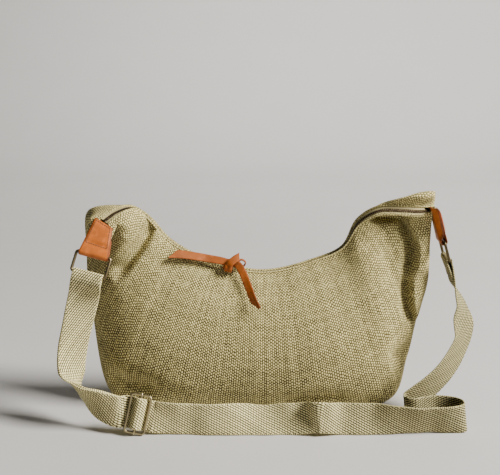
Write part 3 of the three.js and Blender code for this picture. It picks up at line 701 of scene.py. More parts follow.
def smooth_line(points, t):
    """Points at t, from 0 to 1, on a centripetal line through the given points."""
    p = np.asarray(points, float)
    p = np.vstack([2 * p[0] - p[1], p, 2 * p[-1] - p[-2]])
    gap = np.sqrt(np.linalg.norm(np.diff(p, axis=0), axis=1))
    gap = np.where(gap < 0.01, 1.0, gap)
    s = np.clip(t, 0, 1) * (len(p) - 3)
    k = np.minimum(s.astype(int), len(p) - 4)
    w = (s - k)[:, None]
    a, b, c, d = (p[k + n] for n in range(4))
    d0, d1, d2 = (gap[k + n][:, None] for n in range(3))
    m1 = d1 * ((b - a) / d0 - (c - a) / (d0 + d1) + (c - b) / d1)
    m2 = d1 * ((c - b) / d1 - (d - b) / (d1 + d2) + (d - c) / d2)
    return b + m1 * w + (3 * (c - b) - 2 * m1 - m2) * w**2 + (2 * (b - c) + m1 + m2) * w**3


def run_length(points):
    """How far along a line each of its points lies."""
    return np.concatenate([[0], np.cumsum(np.linalg.norm(np.diff(points, axis=0), axis=1))])


def tangents(line, t):
    """Directions along a line that is given as a function of t."""
    return unit(line(np.clip(t + 1e-4, 0, 1)) - line(np.clip(t - 1e-4, 0, 1)))


def tip_section(tab, reach, half, depth):
    """The panels' section inside a tab: front points and back points."""
    down = unit(tab["down"])
    across = unit(tab["across"])
    face = np.cross(down, across) * tab["turn"]
    middle = np.array(tab["top"]) + down * reach
    mouth = middle + face * depth / 2
    seam = middle - face * depth / 2
    side = half * TIP_SPREAD
    return [
        [mouth + s * across * MOUTH_HALF, mouth + s * across * side,
         seam + s * across * side, seam]
        for s in (1, -1)
    ]


def body_section(mouth, lean, seam, front, back):
    """The panels' section between the ears: front points and back points."""
    across = unit(lean) * MOUTH_HALF
    return [
        [np.array(mouth) - across, *front, seam],
        [np.array(mouth) + across, *back, seam],
    ]


def loft_points():
    """Shaping points of both panels: panel, section, point, axis."""
    rows = [tip_section(*tip) for tip in EAR_TIPS["left"]]
    rows += [body_section(*section) for section in SECTIONS]
    rows += [tip_section(*tip) for tip in EAR_TIPS["right"]]
    return np.array(rows, float).transpose(1, 0, 2, 3)


LOFT = loft_points()


def rail(points, t):
    """A line through one point of every section: straight inside the tabs."""
    last = len(points) - 1
    s = t * last
    first = points[0] + (points[1] - points[0]) * s[:, None]
    end = points[-2] + (points[-1] - points[-2]) * (s - last + 1)[:, None]
    body = smooth_line(points[1:-1], (s - 1) / (last - 2))
    return np.where((s < 1)[:, None], first, np.where((s > last - 1)[:, None], end, body))


def sunk(points, folds):
    """How far the folds press each point in."""
    flat = points[..., (0, 2)]
    total = np.zeros(flat.shape[:-1])
    for start, end, bow, left, right, depth in folds:
        run = np.subtract(end, start)
        span = np.linalg.norm(run)
        run = run / span
        here = flat - start
        s = here @ run / span
        along = window(s, -0.1, 0.2, 0.8, 1.1)
        off = here[..., 0] * run[1] - here[..., 1] * run[0] - bow * 4 * s * (1 - s)
        reach = np.where(off > 0, left, right)
        total += depth * along * np.exp(-((off / reach) ** 2))
    return total


def grid_normals(grid):
    """Directions across a grid of points, out of the front panel."""
    right = np.concatenate([grid[1:], grid[-1:]]) - np.concatenate([grid[:1], grid[:-1]])
    low = np.concatenate([grid[:, 1:], grid[:, -1:]], 1)
    high = np.concatenate([grid[:, :1], grid[:, :-1]], 1)
    return unit(np.cross(right, high - low))


def slack(points, seed):
    """Soft unevenness of cloth that isn't stretched."""
    flat = points.reshape(-1, 3)
    shift = Vector((seed, 3.1 * seed, 0.7))
    wave = [
        0.9 * noise.noise(Vector(p) / 52 + shift) + 0.45 * noise.noise(Vector(p) / 23 - shift)
        for p in flat
    ]
    return np.array(wave).reshape(points.shape[:-1])


def hood(points):
    """How far the top of the right ear stands forward."""
    x, y, z = np.moveaxis(points, -1, 0)
    forward = 11
    along = window(x, 140, 172, 219, 230)
    return forward * along * smooth(z, 264, 279) * (1 - smooth(y, -2, 22))


def panel_grid(side):
    """The outer face of the front panel, side 0, or the back panel, and its outward normals."""
    t = np.linspace(0, 1, PANEL_COLUMNS + 1)
    s = np.linspace(0, 1, PANEL_ROWS[side] + 1)
    w = s[None, :, None]
    p = [rail(LOFT[side][:, k], t)[:, None] for k in range(4)]
    grid = (1 - w)**3 * p[0] + 3 * (1 - w)**2 * w * p[1] + 3 * (1 - w) * w**2 * p[2] + w**3 * p[3]
    out = 1 if side == 0 else -1
    normals = grid_normals(grid) * out
    # Each is 0 where the cloth is held: at the seam, at the lip, and at both or inside the tabs.
    seam = np.clip((1 - s) * 16, 0, 1)
    lip = smooth(s, 0.0, 0.08)
    calm = seam * lip * window(t, 0.075, 0.12, 0.9, 0.935)[:, None]
    uneven = slack(grid, 4.7 + side) * calm
    if side == 0:
        press = sunk(grid, FRONT_FOLDS) * seam
        shift = sunk(grid, LIP_TUCK) * smooth(s, 0.004, 0.03) + sunk(grid, EAR_FOLDS) * lip
        grid = grid + normals * (uneven - press)[..., None]
        grid[..., 1] += shift * seam
    else:
        press = sunk(grid, BACK_FOLDS) * calm
        grid = grid + normals * (uneven - press)[..., None]
        grid[..., 1] -= hood(grid)
    grid[..., 2] = np.maximum(grid[..., 2], 0)
    return grid, grid_normals(grid) * out


def quads(a, b, c, d):
    """Faces from four arrays of point numbers."""
    return np.stack([a, b, c, d], -1).reshape(-1, 4)


def unwrapped(grid):
    """A flat pattern of a grid of points, in a measure of its own."""
    number = np.arange(grid[..., 0].size).reshape(grid.shape[:2])
    faces = quads(number[:-1, :-1], number[1:, :-1], number[1:, 1:], number[:-1, 1:])
    mesh = bpy.data.meshes.new("flat_pattern")
    mesh.from_pydata(grid.reshape(-1, 3).tolist(), [], faces.tolist())
    mesh.uv_layers.new(name="pattern")
    sheet = bpy.data.objects.new("flat_pattern", mesh)
    bpy.context.scene.collection.objects.link(sheet)
    for other in bpy.context.selected_objects:
        other.select_set(False)
    bpy.context.view_layer.objects.active = sheet
    sheet.select_set(True)
    bpy.ops.object.mode_set(mode="EDIT")
    bpy.ops.mesh.select_all(action="SELECT")
    bpy.ops.uv.unwrap(method="MINIMUM_STRETCH", margin=0.0)
    bpy.ops.object.mode_set(mode="OBJECT")
    corner = np.empty(len(mesh.loops), int)
    mesh.loops.foreach_get("vertex_index", corner)
    place = np.empty(len(mesh.loops) * 2)
    mesh.uv_layers["pattern"].data.foreach_get("uv", place)
    flat = np.zeros((number.size, 2))
    flat[corner] = place.reshape(-1, 2)
    bpy.data.objects.remove(sheet)
    bpy.data.meshes.remove(mesh)
    return flat


def plain_middle(points, side):
    """Which points of a panel lie in its plain middle."""
    x, y, _ = np.moveaxis(points, -1, 0)
    face = y < PLAIN["front"] if side == 0 else y > PLAIN["back"]
    return face & (abs(x) < PLAIN["half"])


def finer(values, axis):
    """Values for every line of a panel, from those for every line of its pattern."""
    count = values.shape[axis]
    fine = np.arange((count - 1) * PATTERN_STEP + 1) / PATTERN_STEP
    return np.apply_along_axis(lambda line: np.interp(fine, np.arange(count), line), axis, values)


def flattened(grid, side):
    """Where each point of a panel lies on the flat cloth, squared to its middle, in metres."""
    coarse = grid[::PATTERN_STEP, ::PATTERN_STEP]
    flat = unwrapped(coarse)
    chosen = plain_middle(coarse, side).reshape(-1)
    source = flat[chosen]
    target = coarse.reshape(-1, 3)[chosen][:, (0, 2)]
    a = source - source.mean(0)
    b = target - target.mean(0)
    left, size, right = np.linalg.svd(a.T @ b)
    turn = left @ right
    scale = size.sum() / (a * a).sum()
    flat = (flat - source.mean(0)) @ turn * scale + target.mean(0)
    flat = flat.reshape(*coarse.shape[:2], 2)
    return finer(finer(flat, 1), 0) * MM


def outward(points, faces):
    """The faces, turned outwards on a closed shell."""
    volume = 0.0
    for face in faces:
        p = points[np.asarray(face)]
        for k in range(1, len(face) - 1):
            volume += np.dot(p[0], np.cross(p[k], p[k + 1]))
    return faces if volume > 0 else [face[::-1] for face in faces]


def shell_faces(columns, rows):
    """Faces of a closed shell of two grids, the outer one first."""
    number = np.arange(2 * (columns + 1) * (rows + 1)).reshape(2, columns + 1, rows + 1)
    o, n = number
    return np.concatenate([
        quads(o[:-1, :-1], o[:-1, 1:], o[1:, 1:], o[1:, :-1]),
        quads(n[:-1, :-1], n[1:, :-1], n[1:, 1:], n[:-1, 1:]),
        quads(o[:-1, 0], o[1:, 0], n[1:, 0], n[:-1, 0]),
        quads(o[:-1, -1], n[:-1, -1], n[1:, -1], o[1:, -1]),
        quads(o[0, :-1], n[0, :-1], n[0, 1:], o[0, 1:]),
        quads(o[-1, :-1], o[-1, 1:], n[-1, 1:], n[-1, :-1]),
    ])


def add_piece(name, shape, material, nodes=(), crease=40):
    """One piece from its points, faces and cloth coordinates."""
    points, faces, cloth = shape
    mesh = bpy.data.meshes.new(name)
    mesh.from_pydata((points * MM).tolist(), [], [list(map(int, face)) for face in faces])
    pattern = mesh.attributes.new("cloth", "FLOAT_VECTOR", "POINT")
    pattern.data.foreach_set("vector", np.asarray(cloth, np.float32).ravel())
    mesh.materials.append(finish(material))
    return place_piece(name, mesh, nodes, crease)


def place_piece(name, mesh, nodes=(), crease=40):
    """A mesh as a piece that rides on the body and stands for its CAD nodes."""
    mesh.name = name
    mesh.polygons.foreach_set("use_smooth", np.ones(len(mesh.polygons), bool))
    mesh.set_sharp_from_angle(angle=math.radians(crease))
    mesh.update()
    piece = bpy.data.objects.new(name, mesh)
    bpy.context.scene.collection.objects.link(piece)
    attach(piece, "root")
    if nodes:
        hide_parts(*nodes)
    return piece


def panel_points(here, other, thick, gap=0.4):
    """Both faces of a panel, with its sewn edge mitred against the other panel."""
    grid, normals = here
    outer = grid.copy()
    inner = grid - normals * thick
    mine = normals[:, -1]
    theirs = other[1][:, -1]
    bisector = unit(mine + theirs + 1e-9)
    reach = np.minimum(thick / np.maximum((mine * bisector).sum(1), 0.3), 3 * thick)
    apart = grid[:, -2] - grid[:, -1]
    apart = unit(apart - bisector * (apart * bisector).sum(1, keepdims=True))
    outer[:, -1] += apart * gap / 2
    inner[:, -1] = outer[:, -1] - bisector * reach[:, None]
    inner[..., 2] = np.maximum(inner[..., 2], thick)
    return np.concatenate([outer.reshape(-1, 3), inner.reshape(-1, 3)])


class MakePanels(bpy.types.Operator):
    """Loft the two canvas panels, with their folds and slack"""

    bl_idname = "handbag.make_panels"
    bl_label = "Make canvas panels"

    def execute(self, context):
        thick = settings().canvas / MM
        panels = [panel_grid(side) for side in (0, 1)]
        for side, word in enumerate(("front", "back")):
            points = panel_points(panels[side], panels[1 - side], thick)
            flat = flattened(panels[side][0], side).reshape(-1, 2)
            cloth = np.zeros((len(points), 3))
            cloth[:, :2] = np.concatenate([flat, flat])
            faces = shell_faces(PANEL_COLUMNS, PANEL_ROWS[side])
            if side:
                faces = faces[:, ::-1]
            add_piece(word + "_canvas", (points, faces, cloth), "woven_canvas",
                      [word + "_panel"], 50)
        self.hems()
        return {"FINISHED"}

    def hems(self):
        """The rolled edges of the mouth."""
        t = np.linspace(*HEM_RANGE, 361)
        _, a, b, _ = zip_frames(t)
        profile = oval(HEM["width"], HEM["thick"], 10)
        for panel, side, name in ((0, -1, "mouth_hem_front"), (1, 1, "mouth_hem_back")):
            line = rail(LOFT[panel][:, 0], t) + a * side * HEM["off"] - b * HEM["sink"]
            add_piece(name, swept(line, a, b, profile), "woven_canvas")


def zip_frames(t):
    """Frames along the mouth: place, across to the back panel, out of the mouth, along."""
    front = rail(LOFT[0][:, 0], t)
    back = rail(LOFT[1][:, 0], t)
    along = unit(
        tangents(lambda s: rail(LOFT[0][:, 0], s), t)
        + tangents(lambda s: rail(LOFT[1][:, 0], s), t)
    )
    a = back - front
    a = unit(a - along * (a * along).sum(1, keepdims=True))
    return (front + back) / 2, a, np.cross(along, a), along


def slider_frame():
    """The slider's place, across to the back panel, out of the mouth, along."""
    place, a, b, along = (v[0] for v in zip_frames(np.array([SLIDER["at"]])))
    return place + b * SLIDER["lift"], a, b, along


def oval(width, thick, count, roundness=1.0):
    """A closed profile, round at roundness 1 and squarer below."""
    turn = np.arange(count) * 2 * math.pi / count
    c = np.cos(turn)
    s = np.sin(turn)
    wide = np.sign(c) * abs(c)**roundness * width / 2
    tall = np.sign(s) * abs(s)**roundness * thick / 2
    return np.stack([wide, tall], -1)


def flat_band(width, thick, count, bead=0.0):
    """A closed profile of a band, its edges rounded and swollen by bead, count points a face."""
    half = width / 2 - thick / 2
    top = np.linspace(-half, half, count)
    swell = 1 + bead * smooth(abs(top), half - thick, half)
    turn = np.linspace(math.pi / 2, -math.pi / 2, 5)[1:-1]
    round_end = np.stack([half + thick / 2 * np.cos(turn), thick / 2 * np.sin(turn)], -1)
    upper = np.stack([top, thick / 2 * swell], -1)
    return np.concatenate([upper, round_end, -upper, -round_end])


def swept(p, a, b, profile, closed=False, scale=None):
    """A profile carried along frames: points, faces and cloth coordinates.

    scale gives each frame its own start and end across, as parts of the full width.
    """
    count = len(p)
    n = len(profile)
    half = abs(profile[:, 0]).max()
    u = np.repeat(profile[None, :, 0], count, 0)
    if scale is not None:
        low, high = scale
        u = (low + (high - low) * (u / half + 1) / 2) * half
    v = profile[None, :, 1]
    points = p[:, None] + a[:, None] * u[..., None] + b[:, None] * v[..., None]
    number = np.arange(count * n).reshape(count, n)
    here = number if closed else number[:-1]
    after = np.roll(number, -1, 0) if closed else number[1:]
    faces = np.stack([here, np.roll(here, -1, 1), np.roll(after, -1, 1), after], -1)
    faces = faces.reshape(-1, 4).tolist()
    if not closed:
        faces += [number[0, ::-1].tolist(), number[-1].tolist()]
    cloth = np.zeros((count, n, 3))
    cloth[..., 0] = u * MM
    cloth[..., 1] = run_length(p)[:, None] * MM
    cloth[..., 2] = abs(profile[None, :, 0]) / half
    points = points.reshape(-1, 3)
    return points, outward(points, faces), cloth.reshape(-1, 3)


def ribbon(rows, steps):
    """Frames along a ribbon from rows of place and edge direction."""
    at = np.array([r[0] for r in rows], float)
    edge = np.array([r[1] for r in rows], float)
    t = np.linspace(0, 1, (len(rows) - 1) * steps + 1)
    p = smooth_line(at, t)
    along = tangents(lambda s: smooth_line(at, s), t)
    a = smooth_line(edge, t)
    a = unit(a - along * (a * along).sum(1, keepdims=True))
    return p, a, np.cross(along, a), t


def together(parts):
    """Several closed shells as one mesh."""
    points = np.concatenate([part[0] for part in parts])
    cloth = np.concatenate([part[2] for part in parts])
    faces = []
    start = 0
    for part in parts:
        faces += [[start + int(k) for k in face] for face in part[1]]
        start += len(part[0])
    return points, faces, cloth


def row_tree():
    """Like bits set along a path, each turned to the path and to its face direction."""
    tree = bpy.data.node_groups.get("row_of_bits")
    if tree:
        return tree
    tree = bpy.data.node_groups.new("row_of_bits", "GeometryNodeTree")
    sockets = (
        ("Path", "NodeSocketGeometry"), ("Pitch", "NodeSocketFloat"),
        ("Size", "NodeSocketVector"), ("Rounding", "NodeSocketInt"),
        ("Finish", "NodeSocketMaterial"),
    )
    for name, kind in sockets:
        tree.interface.new_socket(name=name, in_out="INPUT", socket_type=kind)
    tree.interface.new_socket(name="Bits", in_out="OUTPUT", socket_type="NodeSocketGeometry")

    def node(kind, choices=None, inputs=None):
        made = tree.nodes.new(kind)
        for key, value in (choices or {}).items():
            setattr(made, key, value)
        for key, value in (inputs or {}).items():
            if hasattr(value, "is_output"):
                tree.links.new(value, made.inputs[key])
            else:
                made.inputs[key].default_value = value
        return made.outputs

    given = node("NodeGroupInput")
    curve = node("GeometryNodeMeshToCurve", None, {"Mesh": given["Path"]})
    spots = node("GeometryNodeCurveToPoints", {"mode": "LENGTH"},
                 {"Curve": curve[0], "Length": given["Pitch"]})
    face = node("GeometryNodeInputNamedAttribute", {"data_type": "FLOAT_VECTOR"},
                {"Name": "face"})
    turn = node("FunctionNodeAxesToRotation", {"primary_axis": "X", "secondary_axis": "Z"},
                {"Primary Axis": spots["Tangent"], "Secondary Axis": face["Attribute"]})
    block = node("GeometryNodeMeshCube", None, {"Size": given["Size"]})
    bit = node("GeometryNodeSubdivisionSurface", None,
               {"Mesh": block["Mesh"], "Level": given["Rounding"]})
    bits = node("GeometryNodeInstanceOnPoints", None,
                {"Points": spots["Points"], "Instance": bit[0], "Rotation": turn[0]})
    solid = node("GeometryNodeRealizeInstances", None, {"Geometry": bits[0]})
    dressed = node("GeometryNodeSetMaterial", None,
                   {"Geometry": solid[0], "Material": given["Finish"]})
    node("NodeGroupOutput", None, {"Bits": dressed[0]})
    return tree


def row_of_bits(paths, pitch, size, material):
    """The mesh of like bits along paths, each a pair of points and face directions."""
    points = np.concatenate([p for p, _ in paths]) * MM
    facing = np.concatenate([np.broadcast_to(face, p.shape) for p, face in paths])
    edges = []
    start = 0
    for p, _ in paths:
        edges += [(start + k, start + k + 1) for k in range(len(p) - 1)]
        start += len(p)
    mesh = bpy.data.meshes.new("path")
    mesh.from_pydata(points.tolist(), edges, [])
    direction = mesh.attributes.new("face", "FLOAT_VECTOR", "POINT")
    direction.data.foreach_set("vector", facing.astype(np.float32).ravel())
    holder = bpy.data.objects.new("path", mesh)
    bpy.context.scene.collection.objects.link(holder)
    tree = row_tree()
    maker = holder.modifiers.new("row", "NODES")
    maker.node_group = tree
    values = {"Pitch": pitch, "Size": tuple(k * MM for k in size), "Rounding": 1,
              "Finish": finish(material)}
    for item in tree.interface.items_tree:
        if item.in_out == "INPUT" and item.name in values:
            maker[item.identifier] = values[item.name]
    view = bpy.context.evaluated_depsgraph_get()
    made = bpy.data.meshes.new_from_object(holder.evaluated_get(view))
    bpy.data.objects.remove(holder)
    bpy.data.meshes.remove(mesh)
    return made


class MakeZip(bpy.types.Operator):
    """Lay the zip's tapes, teeth and slider in the mouth"""

    bl_idname = "handbag.make_zip"
    bl_label = "Make zip"

    def execute(self, context):
        t = np.linspace(*ZIP_RANGE, 401)
        p, a, b, _ = zip_frames(t)
        profile = flat_band(TAPE["width"], TAPE["thick"], 5)
        for side, word in ((-1, "front"), (1, "back")):
            middle = p + a * side * TAPE["off"] - b * TAPE["sink"]
            add_piece(word + "_tape", swept(middle, a, b, profile), "woven_tape",
                      ["zip_tape_" + word])
        pitch = settings().tooth_pitch
        half = int(round(pitch / MM / np.linalg.norm(p[1] - p[0]) / 2))
        front = p - a * TOOTH["off"] - b * TOOTH["sink"]
        back = p + a * TOOTH["off"] - b * TOOTH["sink"]
        paths = [(front, b), (back[half:], b[half:])]
        mesh = row_of_bits(paths, pitch, TOOTH["size"], "dark_bronze")
        place_piece("zip_chain", mesh, ["zip_teeth"], 60)
        self.slider()
        return {"FINISHED"}

    def slider(self):
        """The slider's rounded plate and the arched crown that holds the pull."""
        place, a, b, along = slider_frame()
        half = SLIDER["half"]
        s = np.linspace(-half, half, 27)
        wide = SLIDER["width"] - SLIDER["narrow"] * smooth(s, -2, half)
        past = np.maximum(abs(s) - SLIDER["square"], 0) / SLIDER["round"]
        tip = np.sqrt(np.clip(1 - past**2, 0.02, 1))
        ratio = (wide / SLIDER["width"] * tip)[:, None]
        middle = place + along * s[:, None] + b * SLIDER["plate"]
        frames = (middle, np.broadcast_to(a, middle.shape), np.broadcast_to(b, middle.shape))
        profile = flat_band(SLIDER["width"], SLIDER["thick"], 7)
        plate = swept(*frames, profile, scale=(-ratio, ratio))
        rows = [(place + along * u + b * v, a) for u, v in CROWN]
        q, e, o, _ = ribbon(rows, 5)
        crown = swept(q, e, o, flat_band(CROWN_BAND["width"], CROWN_BAND["thick"], 5))
        add_piece("slider", together([plate, crown]), "old_brass", ["zip_slider"])


class MakePull(bpy.types.Operator):
    """Tie the leather thong to the slider"""

    bl_idname = "handbag.make_pull"
    bl_label = "Make zip pull"

    def band(self, rows, trim=0.0, flare=1.0, width=1.0):
        """A strip of the thong; flare widens its end, and trim slants it."""
        sizes = settings()
        p, a, b, t = ribbon(rows, 8)
        profile = flat_band(sizes.thong_width / MM * width, sizes.thong_thick / MM, 7)
        half = (1 + (flare - 1) * t)[:, None]
        lost = 2 * half * trim * smooth(t, 0.84, 1.0)[:, None]
        ends = (-half - np.minimum(lost, 0), half - np.maximum(lost, 0))
        return swept(p, a, b, profile, scale=ends)

    def hoop(self, place, axis, sizes):
        """A closed turn of the thong round an axis."""
        axis = unit(axis)
        start = unit(np.array([0, 0, 1]) - axis * axis[2])
        side = np.cross(axis, start)
        turn = np.arange(40)[:, None] * 2 * math.pi / 40
        out = start * np.cos(turn) + side * np.sin(turn)
        line = np.asarray(place) + out * sizes["radius"]
        profile = flat_band(sizes["width"], sizes["thick"], 5)
        return swept(line, np.broadcast_to(axis, out.shape), out, profile, closed=True)

    def execute(self, context):
        place, _, b, along = slider_frame()
        parts = [
            self.hoop(place + b * EYE["rise"], along, EYE),
            self.hoop(KNOT["at"], KNOT["axis"], KNOT),
            self.band(NECK, width=0.8),
            self.band(LEFT_TAIL, trim=-0.8, flare=1.3),
            self.band(RIGHT_TAIL, trim=-0.45, flare=1.12),
            self.band(KNOT_TIP, trim=0.9),
            self.band(KNOT_BIGHT, width=0.58),
        ]
        add_piece("thong", together(parts), "thong_leather", ["zip_pull"], 60)
        return {"FINISHED"}


def tab_frame(tab):
    """The tab's axes: across, up from the ring bar, towards the zip's side; and the bar."""
    x = unit(tab["across"])
    y = -unit(tab["down"])
    return x, y, np.cross(x, y), np.array(tab["top"]) - y * TAB["leaf"]


class MakeTabs(bpy.types.Operator):
    """Fold the leather tabs over the rings and sew them"""

    bl_idname = "handbag.make_tabs"
    bl_label = "Make leather tabs"

    def path(self, under):
        """The fold's line as up and out, from the outer leaf's top to the under leaf's."""
        radius = TAB["inner"] + TAB["thick"] / 2
        down = np.linspace(TAB["leaf"], 0, 30)[:-1]
        turn = np.linspace(0, math.pi, 19)
        back = np.linspace(0, under, 14)[1:]
        up = np.concatenate([down, -radius * np.sin(turn), back])
        out = np.concatenate([np.full(len(down), radius), radius * np.cos(turn),
                              np.full(len(back), -radius)])
        return up, out

    def puff(self, across, up, outer):
        """How far the leather stands out: full in the middle, held down at the stitches."""
        edge = smooth(1 - abs(across), 0.0, 0.3)
        low = smooth(up, 11, 17)
        high = 1 - smooth(up, TAB["leaf"] - 8, TAB["leaf"] - 1)
        return np.where(outer, 0.75 * edge * low * high - 0.25 * (1 - low) * smooth(up, 6, 10), 0)

    def execute(self, context):
        for tab, name in ((LEFT_TAB, "left_tab"), (RIGHT_TAB, "right_tab")):
            self.tab(tab, name)
        return {"FINISHED"}

    def tab(self, tab, name):
        """One folded tab, from the outer and the inner face of its leather, and its stitches."""
        x, y, z, bar = tab_frame(tab)
        z = z * tab["turn"]
        up, out = self.path(tab["under"])
        across = np.linspace(-1, 1, 25)
        across = np.sign(across) * abs(across)**0.85
        rise = np.maximum(up, 0)[:, None] / TAB["leaf"]
        half = TAB["width"] / 2 * (1 - tab["taper"] * rise)
        slope = np.gradient(np.stack([up, out], -1), axis=0)
        normal = unit(np.stack([slope[:, 1], -slope[:, 0]], -1))
        outer = (out > 0)[:, None] & (up > 0)[:, None]
        lift = self.puff(across[None], up[:, None], outer)
        droop = 0.5 * (1 - smooth(1 - abs(across), 0, 0.12))[None]
        near = smooth(across, 0.3, 1)[None] * (out < 0)[:, None] * tab["wrap"]
        layers = []
        for side in (1, -1):
            off = side * TAB["thick"] / 2 + lift - side * droop
            u = up[:, None] + normal[:, None, 0] * off
            v = out[:, None] + normal[:, None, 1] * off
            w = across[None] * half + tab["lean"] * rise
            u = u - tab["slope"] * rise * across[None] / 2
            v = v + near * smooth(up, 3, 10)[:, None]
            w = w + near * smooth(up, 16, 36)[:, None]
            layers.append(bar + x * w[..., None] + y * u[..., None] + z * v[..., None])
        points = np.stack(layers).reshape(-1, 3)
        faces = outward(points, shell_faces(len(up) - 1, len(across) - 1).tolist())
        cloth = np.zeros((2, len(up), len(across), 3))
        cloth[..., 0] = across[None] * half * MM
        cloth[..., 1] = run_length(layers[0][:, len(across) // 2])[:, None] * MM
        ends = np.abs(np.linspace(-1, 1, len(up)))**30
        cloth[..., 2] = np.maximum(abs(across)[None], ends[:, None])
        shape = (points, faces, cloth.reshape(-1, 3))
        add_piece(name + "_leather", shape, "waxed_leather", [name], 60)
        self.sewn(tab, name, x, y, z, bar)

    def sewn(self, tab, name, x, y, z, bar):
        """A box of stitches on the outer leaf."""
        low = TAB_STITCH["low"]
        high = TAB_STITCH["high"]
        corners = np.array([(-1, high), (-1, low), (1, low), (1, high), (-1, high)])
        k = np.linspace(0, 1, 12)[:-1, None]
        lines = [start + (end - start) * k for start, end in zip(corners[:-1], corners[1:])]
        side, up = np.concatenate([*lines, corners[-1:]]).T
        rise = up / TAB["leaf"]
        half = TAB["width"] / 2 * (1 - tab["taper"] * rise)
        w = side * (half - TAB_STITCH["inset"])
        lift = self.puff(w / half, up, True)
        out = TAB["inner"] + TAB["thick"] + lift + TAB_STITCH["proud"]
        up = up - tab["slope"] * rise * w / half / 2
        w = w + tab["lean"] * rise
        points = bar + x * w[:, None] + y * up[:, None] + z * out[:, None]
        pitch = settings().stitch_pitch
        mesh = row_of_bits([(points, z)], pitch, TAB_STITCH["size"], "sewing_thread")
        place_piece(name + "_stitches", mesh, (), 60)


def rounded_loop(width, height, corner):
    """A closed rounded rectangle, as places and outward directions in its plane."""
    places = []
    outs = []
    for k, (sx, sy) in enumerate(((1, 1), (-1, 1), (-1, -1), (1, -1))):
        middle = np.array([sx * (width / 2 - corner), sy * (height / 2 - corner)])
        for turn in np.linspace(0, math.pi / 2, 9) + k * math.pi / 2:
            out = np.array([math.cos(turn), math.sin(turn)])
            places.append(middle + out * corner)
            outs.append(out)
    return np.array(places), np.array(outs)


def wire_frame(sizes, origin, x, y, z):
    """A rounded rectangle of round wire in the plane of x and y."""
    wire = sizes["wire"]
    places, outs = rounded_loop(
        sizes["width"] - wire, sizes["height"] - wire, sizes["corner"] - wire / 2)
    p = origin + places[:, :1] * x + places[:, 1:] * y
    a = outs[:, :1] * x + outs[:, 1:] * y
    b = np.broadcast_to(z, p.shape)
    return swept(p, a, b, oval(wire, wire, 14, 0.85), closed=True)


class MakeRings(bpy.types.Operator):
    """Bend the two rectangular rings"""

    bl_idname = "handbag.make_rings"
    bl_label = "Make rings"

    def execute(self, context):
        drop = (RING["height"] - RING["wire"]) / 2
        for tab, name in ((LEFT_TAB, "left_ring"), (RIGHT_TAB, "right_ring")):
            x, y, z, bar = tab_frame(tab)
            shape = wire_frame(RING, bar - y * drop, x, y, z)
            add_piece(name + "_wire", shape, "ring_bronze", [name])
        return {"FINISHED"}


def slide_frame():
    """The slide's axes: along the strap, along the bar, out; and its middle."""
    y = unit(SLIDE_AT["edge"])
    x = unit(SLIDE_AT["along"])
    x = unit(x - y * x.dot(y))
    return x, y, np.cross(x, y), np.array(SLIDE_AT["at"], float)


class MakeSlide(bpy.types.Operator):
    """Bend the slide that sets the strap's length"""

    bl_idname = "handbag.make_slide"
    bl_label = "Make slide"

    def execute(self, context):
        x, y, z, at = slide_frame()
        hoop = wire_frame(SLIDE, at, x, y, z)
        reach = SLIDE["height"] / 2 + SLIDE["nub"]
        inset, share = np.array(BAR_END).T
        s = np.concatenate([inset - reach, np.linspace(-20, 20, 9), reach - inset[::-1]])
        thin = np.concatenate([share, np.ones(9), share[::-1]])[:, None]
        p = at + s[:, None] * y
        a = np.broadcast_to(x, p.shape) * thin
        b = np.broadcast_to(z, p.shape) * thin
        bar = swept(p, a, b, oval(2 * SLIDE["bar"], 2 * SLIDE["bar"], 14))
        shape = together([hoop, bar])
        add_piece("slide_wire", shape, "old_brass", ["slide_buckle"])
        return {"FINISHED"}


